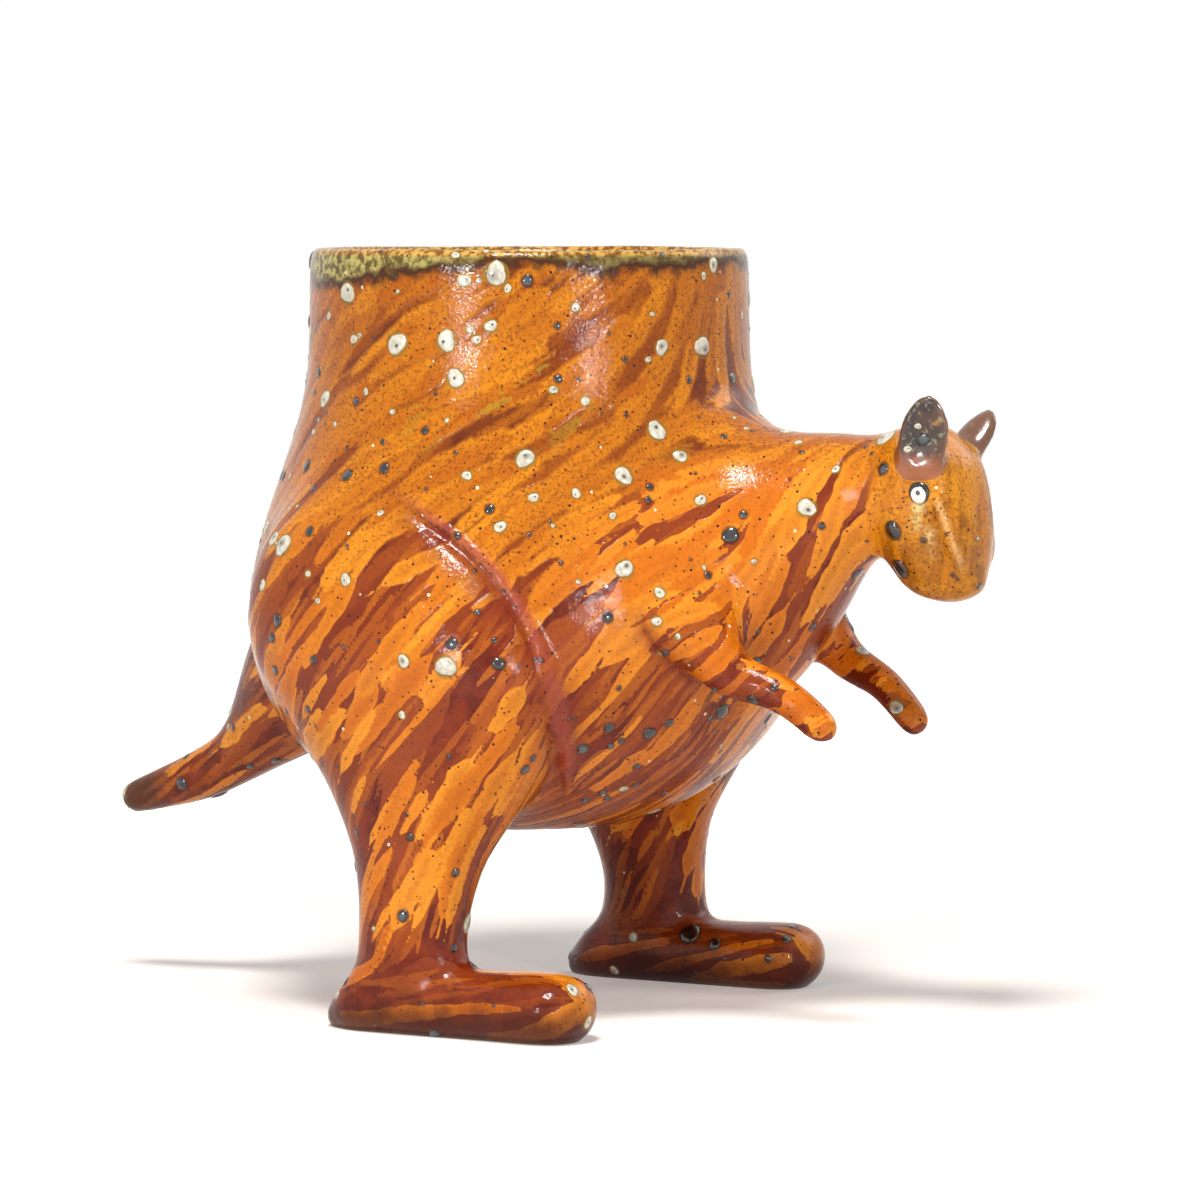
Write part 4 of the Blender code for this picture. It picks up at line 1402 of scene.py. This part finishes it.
def start_glaze(name, roughness, specular, coat, coat_roughness):
    """A new glossy material with its tree and its shader."""
    material = bpy.data.materials.new(name)
    material.use_nodes = True
    tree = material.node_tree
    shader = tree.nodes["Principled BSDF"]
    for key, value in (("Roughness", roughness), ("IOR", GLASS_IOR),
                       ("Specular IOR Level", specular), ("Coat Weight", coat),
                       ("Coat Roughness", coat_roughness)):
        shader.inputs[key].default_value = value
    return material, tree, shader


ochre_glaze, tree, shader = start_glaze("iron and ochre stoneware glaze",
                                        0.26, 0.05, 0.34, 0.05)
print("started", ochre_glaze.name)

# %% [markdown]
# The ochre glaze is rich in iron: red-brown where it is thick and cool, orange where the
# fire was hottest, which is up the wall and on the tail, but not on the chest in the
# wall's lee. All its patterns are noise with a real size: heat wanders in patches of 26 mm,
# the melt mottles at 4 mm, edges waver at 1.1 mm, the surface has an orange peel of 1.6 mm,
# and the iron grain is drawn at 0.45 mm so that it shows.

# %% Lay out the glaze's noises and its heat
CHEST_COOLER, TAIL_WARMER = 0.036, 0.030
where = add_node(tree, "TexCoord").outputs["Object"]
axes = add_node(tree, "SeparateXYZ", {0: where})
ahead, height = axes.outputs["X"], axes.outputs["Z"]
waves = {}
for name, size_mm, detail in (("patch", 26, 2), ("mottle", 4.0, 3), ("melt", 1.1, 3),
                              ("peel", 1.6, 2), ("grain", 0.45, 2)):
    noise_node = add_node(tree, "TexNoise", {
        "Vector": where, "Scale": 1 / (size_mm * MM), "Detail": detail, "Roughness": 0.55})
    waves[name] = noise_node.outputs[0]
patch, mottle, grain = waves["patch"], waves["mottle"], waves["grain"]
melt = add_node(tree, "Math", {0: waves["melt"], 1: 0.5}, operation="SUBTRACT")

heat = add_node(tree, "Math", {0: patch, 1: 0.050, 2: height}, operation="MULTIPLY_ADD")
cool = CHEST_COOLER
for value, first, last in ((ahead, 0.020, 0.042),  # in front of the wall
                           (height, 0.094, 0.080),  # below the shoulder
                           (ahead, 0.067, 0.060)):  # behind the head
    share = add_node(tree, "MapRange", {0: value, 1: first, 2: last})
    cool = add_node(tree, "Math", {0: cool, 1: share}, operation="MULTIPLY")
heat = add_node(tree, "Math", {0: heat, 1: cool}, operation="SUBTRACT")
tail = add_node(tree, "MapRange", {0: ahead, 1: -0.042, 2: -0.054, 4: TAIL_WARMER})
heat = add_node(tree, "Math", {0: heat, 1: tail}, operation="ADD")
heat = add_node(tree, "MapRange", {0: heat, 1: 0.078, 2: 0.114})
print(len(waves), "noises")

# %% [markdown]
# Each layer of strokes covers the ground where its depth is above nothing. In the hot
# parts the strokes have melted into the ground, so their edges are soft there, and crisp
# in the cool parts. Low on the feet hardly any stroke was laid.

# %% See how much each layer of strokes covers
soft = add_node(tree, "Math", {0: heat, 1: 0.42, 2: 0.07}, operation="MULTIPLY_ADD")
minus_soft = add_node(tree, "Math", {0: soft, 1: -1.0}, operation="MULTIPLY")
sparse = add_node(tree, "MapRange", {0: height, 1: 0.004, 2: 0.016, 3: 0.25, 4: 1.0})
depths, tones, cover = {}, {}, {}
for name, waver_mm, full in (("wash", 0.4, 0.7), ("fine", 0.25, 0.7), ("orange", 0.25, 1.0)):
    depth = add_node(tree, "Attribute", attribute_name=name + "_depth").outputs["Fac"]
    tones[name] = add_node(tree, "Attribute", attribute_name=name + "_tone").outputs["Fac"]
    depths[name] = add_node(tree, "Math", {0: melt, 1: waver_mm, 2: depth},
                            operation="MULTIPLY_ADD")
    cover[name] = add_node(tree, "MapRange", {0: depths[name], 1: minus_soft, 2: soft, 4: full})
for name in ("wash", "fine"):
    cover[name] = add_node(tree, "Math", {0: cover[name], 1: sparse}, operation="MULTIPLY")
print("layers", ", ".join(cover))

# %% [markdown]
# Now the colours are laid one over the other, as the maker did: the ground, the washes,
# the fine strokes and the opaque orange slip. Each has a cool pair of colours and a hot
# pair, and every stroke has its own tone between the two. The thick middle of an orange
# stroke is a little browner than its edges.

# %% Colour the ground and the strokes
ground_share = add_node(tree, "MapRange", {0: mottle, 1: 0.35, 2: 0.70})
LAYER_COLOURS = (
    (None, ground_share, "#5C180A", "#7E2C10", "#582002", "#763304"),
    ("wash", tones["wash"], "#7C2E0C", "#9E481A", "#783003", "#A65406"),
    ("fine", tones["fine"], "#923E0C", "#C66C18", "#823A02", "#B2620A"),
    ("orange", tones["orange"], "#C46208", "#E28E22", "#A85604", "#D08010"),
)
for name, share, cold_dark, cold_light, hot_dark, hot_light in LAYER_COLOURS:
    cold = add_node(tree, "Mix", {0: share, 6: cold_dark, 7: cold_light})
    hot = add_node(tree, "Mix", {0: share, 6: hot_dark, 7: hot_light})
    layer_colour = add_node(tree, "Mix", {0: heat, 6: cold, 7: hot})
    if name is None:
        colour = layer_colour
        continue
    if name == "orange":
        thin = add_node(tree, "MapRange", {0: depths[name], 1: 0.35, 2: 1.5, 4: 0.40})
        layer_colour = add_node(tree, "Mix", {0: thin, 6: layer_colour, 7: "#A8540A"})
    colour = add_node(tree, "Mix", {0: cover[name], 6: colour, 7: layer_colour})
print("colours of", len(LAYER_COLOURS), "layers")

# %% [markdown]
# Wood ash fell on the hot glaze and made it yellow-green: in a few runs down the wall, in
# a thin veil over the head, and in crystals that dripped from each eye.

# %% Add runs and crystals of ash
RUN_TONE = 0.86
run = add_node(tree, "MapRange", {0: tones["wash"], 1: RUN_TONE, 2: RUN_TONE + 0.04, 4: 0.85})
run = add_node(tree, "Math", {0: run, 1: cover["wash"]}, operation="MULTIPLY")
high = add_node(tree, "MapRange", {0: height, 1: 0.086, 2: 0.098})
run = add_node(tree, "Math", {0: run, 1: high}, operation="MULTIPLY")
colour = add_node(tree, "Mix", {0: run, 6: colour, 7: "#9E8222"})

veil = add_node(tree, "MapRange", {0: mottle, 1: 0.40, 2: 0.66, 3: 0.35, 4: 0.8})
on_head = add_node(tree, "MapRange", {0: ahead, 1: 0.061, 2: 0.069})
veil = add_node(tree, "Math", {0: veil, 1: on_head}, operation="MULTIPLY")
veil_colour = add_node(tree, "Mix", {0: patch, 6: "#EA9624", 7: "#C28616"})
colour = add_node(tree, "Mix", {0: veil, 6: colour, 7: veil_colour})

tear = add_node(tree, "Attribute", attribute_name="tear").outputs["Fac"]
crystals = add_node(tree, "MapRange", {0: melt, 1: -0.10, 2: 0.08, 3: 0.25, 4: 1.0})
crystals = add_node(tree, "Math", {0: crystals, 1: tear}, operation="MULTIPLY", use_clamp=True)
colour = add_node(tree, "Mix", {0: crystals, 6: colour, 7: "#E0D08C"})
print("ash added")

# %% [markdown]
# The tool's groove and the haunch's side beside it are painted a deep red, as painted shade
# over glaze that ran thick there. The ridge that the tool pushed up is painted pinkish and the
# face's edge pale, as painted highlights over glaze that ran thin. The iron grain lies
# densest where it was hot.

# %% Paint shade and highlights on the tool marks, and colour the iron grain
# a deep red painted shade in the grooves, a pink painted highlight on the crease's ridge and a
# pale painted highlight along the face's edge
for name, strength, tint in (("crease_red", 0.88, "#74200A"), ("crease_lip", 0.80, "#A2483A"),
                             ("thin_edge", 0.75, "#E2AE6C")):
    near_crease = add_node(tree, "Attribute", attribute_name=name).outputs["Fac"]
    share = add_node(tree, "Math", {0: near_crease, 1: strength}, operation="MULTIPLY",
                     use_clamp=True)
    colour = add_node(tree, "Mix", {0: share, 6: colour, 7: tint})
dense = add_node(tree, "Math", {0: heat, 1: 0.40, 2: 0.28}, operation="MULTIPLY_ADD")
grains = add_node(tree, "MapRange", {0: grain, 1: 0.46, 2: 0.72, 4: dense})
colour = add_node(tree, "Mix", {0: grains, 6: colour, 7: "#5E280A"})
print("grain added")

# %% [markdown]
# The tip of the tail fired dark. The lower edges of the feet, close to the table, are darkened as
# painted shade.

# %% Darken the tail's tip, and paint shade low on the feet
for axis, waver, first, last, strength, tint in (
        (ahead, 0.012, -0.058, -0.070, 0.85, "#4A2C1A"),
        # painted shade low on the feet, close to the table
        (height, 0.006, 0.0122, 0.0042, 0.90, "#481608")):
    edge = add_node(tree, "Math", {0: mottle, 1: waver, 2: axis}, operation="MULTIPLY_ADD")
    share = add_node(tree, "MapRange", {0: edge, 1: first, 2: last, 4: strength})
    colour = add_node(tree, "Mix", {0: share, 6: colour, 7: tint})
print("tip and soles darkened")

# %% [markdown]
# At the rim the ash lay thick: a yellow-green crust with a burnt edge, deep on the tail's
# side and thin and burnt on the nose's side, under a tan lip where the glaze ran thin.

# %% Lay the ash at the rim
down = add_node(tree, "Math", {0: RIM * MM, 1: height}, operation="SUBTRACT")
deep = add_node(tree, "MapRange", {0: ahead, 1: -0.030, 2: 0.022, 3: 0.0013, 4: -0.0014})
ragged = add_node(tree, "Math", {0: down, 1: deep}, operation="SUBTRACT")
for wave, reach in ((mottle, 0.0055), (melt, 0.0018), (patch, 0.0075)):
    ragged = add_node(tree, "Math", {0: wave, 1: reach, 2: ragged}, operation="MULTIPLY_ADD")
crust = add_node(tree, "MapRange", {0: melt, 1: -0.12, 2: 0.12})
crust = add_node(tree, "Mix", {0: crust, 6: "#5C4E24", 7: "#B4A45E"})
burnt = add_node(tree, "MapRange", {0: ahead, 1: -0.012, 2: 0.022, 4: 0.65})
crust = add_node(tree, "Mix", {0: burnt, 6: crust, 7: "#4A3C1C"})
lip = add_node(tree, "MapRange", {0: melt, 1: -0.10, 2: 0.10})
lip = add_node(tree, "Mix", {0: lip, 6: "#7A4A12", 7: "#C69A46"})
for place_in, first, last, tint in ((ragged, 0.0130, 0.0108, "#42220E"),
                                    (ragged, 0.0108, 0.0096, crust), (down, 0.0021, 0.0013, lip)):
    share = add_node(tree, "MapRange", {0: place_in, 1: first, 2: last})
    colour = add_node(tree, "Mix", {0: share, 6: colour, 7: tint})
print("rim crusted")

# %% [markdown]
# Each bead stained the glaze round it, olive round feldspar and dark round iron. Specks
# too small to stand proud are dots in the cells of three Voronoi patterns.

# %% Add stains and specks
for name, reach, strength, tint in (("feldspar_edge", 0.42, 0.75, "#86681E"),
                                    ("iron_edge", 0.40, 0.70, "#52220C")):
    edge = add_node(tree, "Attribute", attribute_name=name).outputs["Fac"]
    share = add_node(tree, "MapRange", {0: edge, 1: reach, 2: 0.02, 4: strength})
    colour = add_node(tree, "Mix", {0: share, 6: colour, 7: tint})
for size_mm, rare, reach, tint in ((1.0, 0.55, 0.22, "#5A2A0A"), (2.2, 0.50, 0.12, "#1E1410"),
                                   (3.8, 0.72, 0.085, "#D8CDB0")):
    cell = add_node(tree, "TexVoronoi", {"Vector": where, "Scale": 1 / (size_mm * MM)})
    chance = add_node(tree, "SeparateColor", {0: cell.outputs["Color"]})
    dot = add_node(tree, "MapRange", {0: cell.outputs["Distance"], 1: reach, 2: reach * 0.7})
    picked = add_node(tree, "MapRange", {0: chance.outputs[0], 1: rare, 2: rare + 0.02}, **LINEAR)
    share = add_node(tree, "Math", {0: dot, 1: picked}, operation="MULTIPLY")
    colour = add_node(tree, "Mix", {0: share, 6: colour, 7: tint})
print("specks added")

# %% [markdown]
# The bowl is lined with one amber glaze that is darker towards the bottom. The turned base
# and the soles are bare clay, wiped clean so that the cup doesn't stick to the kiln shelf.

# %% Line the bowl and bare the base
up_the_bowl = add_node(tree, "MapRange", {0: height, 1: 0.030, 2: 0.110})
amber = add_node(tree, "Mix", {0: up_the_bowl, 6: "#6B3414", 7: "#B87428"})
lined = add_node(tree, "Attribute", attribute_name="lining").outputs["Fac"]
colour = add_node(tree, "Mix", {0: lined, 6: colour, 7: amber})
from_axis = add_node(tree, "VectorMath", {0: where, 1: tuple(place(0, 0, BASE))},
                     operation="DISTANCE")
bare = add_node(tree, "MapRange", {0: from_axis.outputs["Value"], 1: 0.0170, 2: 0.0160}, **LINEAR)
for first, last in (((BASE + 0.25) * MM, (BASE + 0.05) * MM), (0.0270, 0.0275)):
    share = add_node(tree, "MapRange", {0: height, 1: first, 2: last}, **LINEAR)
    bare = add_node(tree, "Math", {0: bare, 1: share}, operation="MULTIPLY")
share = add_node(tree, "MapRange", {0: height, 1: 0.0005, 2: 0.0003}, **LINEAR)
bare = add_node(tree, "Math", {0: bare, 1: share}, operation="MAXIMUM")
colour = add_node(tree, "Mix", {0: bare, 6: colour, 7: "#7A5640"})
print("lined and bared")

# %% [markdown]
# Last come gloss and relief. The glaze is glassier where it was hot. The slip stands a
# tenth of a millimetre proud, over a faint orange peel, and the grain breaks highlights
# into sparkles.

# %% Give the ochre glaze its gloss and relief
tree.links.new(colour.outputs[2], shader.inputs["Base Color"])
gloss = add_node(tree, "MapRange", {0: mottle, 1: 0.3, 2: 0.75, 3: 0.22, 4: 0.34}, **LINEAR)
gloss = add_node(tree, "Math", {0: heat, 1: -0.06, 2: gloss}, operation="MULTIPLY_ADD")
gloss = add_node(tree, "Math", {0: bare, 1: 0.5, 2: gloss}, operation="MULTIPLY_ADD")
tree.links.new(gloss.outputs[0], shader.inputs["Roughness"])
relief = add_node(tree, "Math", {0: cover["orange"], 1: 0.10}, operation="MULTIPLY")
for wave, reach in ((waves["peel"], 0.12), (grain, 0.07)):
    relief = add_node(tree, "Math", {0: wave, 1: reach, 2: relief}, operation="MULTIPLY_ADD")
bumps = add_node(tree, "Bump", {"Height": relief, "Strength": 0.7, "Distance": MM})
for name in ("Normal", "Coat Normal"):
    tree.links.new(bumps.outputs[0], shader.inputs[name])
print("ochre glaze", len(tree.nodes), "nodes")

# %% [markdown]
# The ears were dipped in a darker glaze, so rich in iron that it fires almost black in the
# hollow, with grey-green crystals, brown on the rolled edge and rust at the root, where it
# runs thin over the ochre.

# %% Mix the ear glaze
ear_glaze, tree, shader = start_glaze("dark iron ear glaze", 0.22, 0.5, 0.4, 0.06)
where = add_node(tree, "TexCoord").outputs["Object"]
height = add_node(tree, "SeparateXYZ", {0: where}).outputs["Z"]
mottle = add_node(tree, "TexNoise", {"Vector": where, "Scale": 1 / (2.6 * MM), "Detail": 3})
crystal = add_node(tree, "TexNoise", {"Vector": where, "Scale": 1 / (0.8 * MM), "Detail": 2})
colour = None
for wave, first, last, strength, tint in ((mottle, 0.40, 0.62, 1.0, "#4E2E1C"),
                                          (crystal, 0.56, 0.68, 0.8, "#7C8068"),
                                          (mottle, 0.62, 0.72, 0.7, "#A07C38")):
    share = add_node(tree, "MapRange", {0: wave, 1: first, 2: last, 4: strength})
    colour = add_node(tree, "Mix", {0: share, 6: colour or "#241612", 7: tint})
hollow = add_node(tree, "Attribute", attribute_name="ear_hollow").outputs["Fac"]
hollow = add_node(tree, "MapRange", {0: hollow, 1: 0.2, 2: 0.8, 3: 0.75, 4: 0.0})
colour = add_node(tree, "Mix", {0: hollow, 6: colour, 7: "#6E4426"})
root = add_node(tree, "Math", {0: mottle, 1: 0.004, 2: height}, operation="MULTIPLY_ADD")
root = add_node(tree, "MapRange", {0: root, 1: 0.0930, 2: 0.0895, 4: 0.7})
colour = add_node(tree, "Mix", {0: root, 6: colour, 7: "#A2521A"})
tree.links.new(colour.outputs[2], shader.inputs["Base Color"])
bumps = add_node(tree, "Bump", {"Height": mottle, "Strength": 0.5, "Distance": 0.2 * MM})
tree.links.new(bumps.outputs[0], shader.inputs["Normal"])
print("ear glaze", len(tree.nodes), "nodes")

# %% [markdown]
# A bead and an eye read their own place on the bead, from -1 to 1 across and up, with the
# bead's seed, so one material draws hundreds of different beads: a pinhole beside the
# middle, a dull crater of its own width round it, and a stained rim.

# %% Mix the melted feldspar
feldspar_melt, tree, shader = start_glaze("melted feldspar bead", 0.30, 0.5, 0.4, 0.06)
where = add_node(tree, "TexCoord").outputs["Object"]


def bead_radius(tree, shift):
    """Distance from a bead's middle, or from a pinhole put beside it by shift, and the seed."""
    spot = add_node(tree, "Attribute", attribute_name="bead_place").outputs["Vector"]
    parts = add_node(tree, "SeparateXYZ", {0: spot})
    moved = []
    for axis, turn in ((0, 40.0), (1, 90.0)):
        angle = add_node(tree, "Math", {0: parts.outputs[2], 1: turn}, operation="MULTIPLY")
        sine = add_node(tree, "Math", {0: angle}, operation="SINE")
        moved.append(add_node(tree, "Math", {0: sine, 1: shift, 2: parts.outputs[axis]},
                              operation="MULTIPLY_ADD"))
    flat = add_node(tree, "CombineXYZ", {0: moved[0], 1: moved[1]})
    length = add_node(tree, "VectorMath", {0: flat}, operation="LENGTH")
    return length.outputs["Value"], parts


mottle = add_node(tree, "TexNoise", {"Vector": where, "Scale": 1 / (0.8 * MM), "Detail": 3})
from_middle, parts = bead_radius(tree, 0.0)
from_hole, _ = bead_radius(tree, 0.30)
crater = add_node(tree, "MapRange", {0: parts.outputs[2], 1: 0.40, 2: 1.0, 3: 0.24, 4: 0.80},
                  **LINEAR)
share = add_node(tree, "MapRange", {0: mottle, 1: 0.35, 2: 0.65})
colour = add_node(tree, "Mix", {0: share, 6: "#B2AC98", 7: "#CFCBBC"})
for value, first, last, strength, tint in ((from_hole, crater, 0.18, 0.80, "#77736A"),
                                           (from_hole, 0.17, 0.09, 1.0, "#2E2C28"),
                                           (from_middle, 0.80, 1.0, 1.0, "#8E7A3C")):
    share = add_node(tree, "MapRange", {0: value, 1: first, 2: last, 4: strength})
    colour = add_node(tree, "Mix", {0: share, 6: colour, 7: tint})
tree.links.new(colour.outputs[2], shader.inputs["Base Color"])
print("feldspar", len(tree.nodes), "nodes")

# %% [markdown]
# A bead of iron is black glass, brown at its edge. About every third one, told by its
# seed, has a slate-blue skin of crystals in the middle.

# %% Mix the melted iron
iron_melt, tree, shader = start_glaze("melted iron bead", 0.18, 0.5, 0.6, 0.05)
from_middle, parts = bead_radius(tree, 0.2)
slate = add_node(tree, "MapRange", {0: from_middle, 1: 0.80, 2: 0.35})
picked = add_node(tree, "MapRange", {0: parts.outputs[2], 1: 0.60, 2: 0.72}, **LINEAR)
slate = add_node(tree, "Math", {0: slate, 1: picked}, operation="MULTIPLY")
rim = add_node(tree, "MapRange", {0: from_middle, 1: 0.85, 2: 1.05}, **LINEAR)
colour = add_node(tree, "Mix", {0: slate, 6: "#15110F", 7: "#3A444A"})
colour = add_node(tree, "Mix", {0: rim, 6: colour, 7: "#331A0E"})
tree.links.new(colour.outputs[2], shader.inputs["Base Color"])
print("iron", len(tree.nodes), "nodes")

# %% [markdown]
# An eye is a drop of white glaze with a dot of black in it and a black crescent that is
# broad above.

# %% Mix the eye glaze
eye_glaze, tree, shader = start_glaze("white and black eye glaze", 0.14, 0.5, 0.6, 0.05)
from_middle, parts = bead_radius(tree, 0.0)
pupil = add_node(tree, "MapRange", {0: from_middle, 1: 0.30, 2: 0.20})
lean = add_node(tree, "Math", {0: parts.outputs[1], 1: -0.26, 2: from_middle},
                operation="MULTIPLY_ADD")
lash = add_node(tree, "MapRange", {0: lean, 1: 0.66, 2: 0.74})
colour = add_node(tree, "Mix", {0: pupil, 6: "#E8E6DC", 7: "#141414"})
colour = add_node(tree, "Mix", {0: lash, 6: colour, 7: "#181310"})
tree.links.new(colour.outputs[2], shader.inputs["Base Color"])
print("mixed", len(bpy.data.materials), "materials")

# %% [markdown]
# Last, every piece gets its glaze, takes the place of its plain solid and is fixed to the
# one fired body. The whole skin, which only lent its normals, is removed.

# %% Dress the pieces
def dress(piece, material):
    """Gives a piece its glaze and its body."""
    piece.data.materials.clear()
    piece.data.materials.append(material)
    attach(piece, "root")


for name, piece in pieces.items():
    if name.endswith("_ear"):
        dress(piece, ear_glaze)
    else:
        dress(piece, ochre_glaze)
    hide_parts(name)
for name, piece in eyes.items():
    dress(piece, eye_glaze)
    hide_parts(name)
dress(feldspar, feldspar_melt)
dress(iron, iron_melt)
remove_object(whole)
print("dressed", len(pieces) + len(eyes) + 2, "pieces")
low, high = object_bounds()
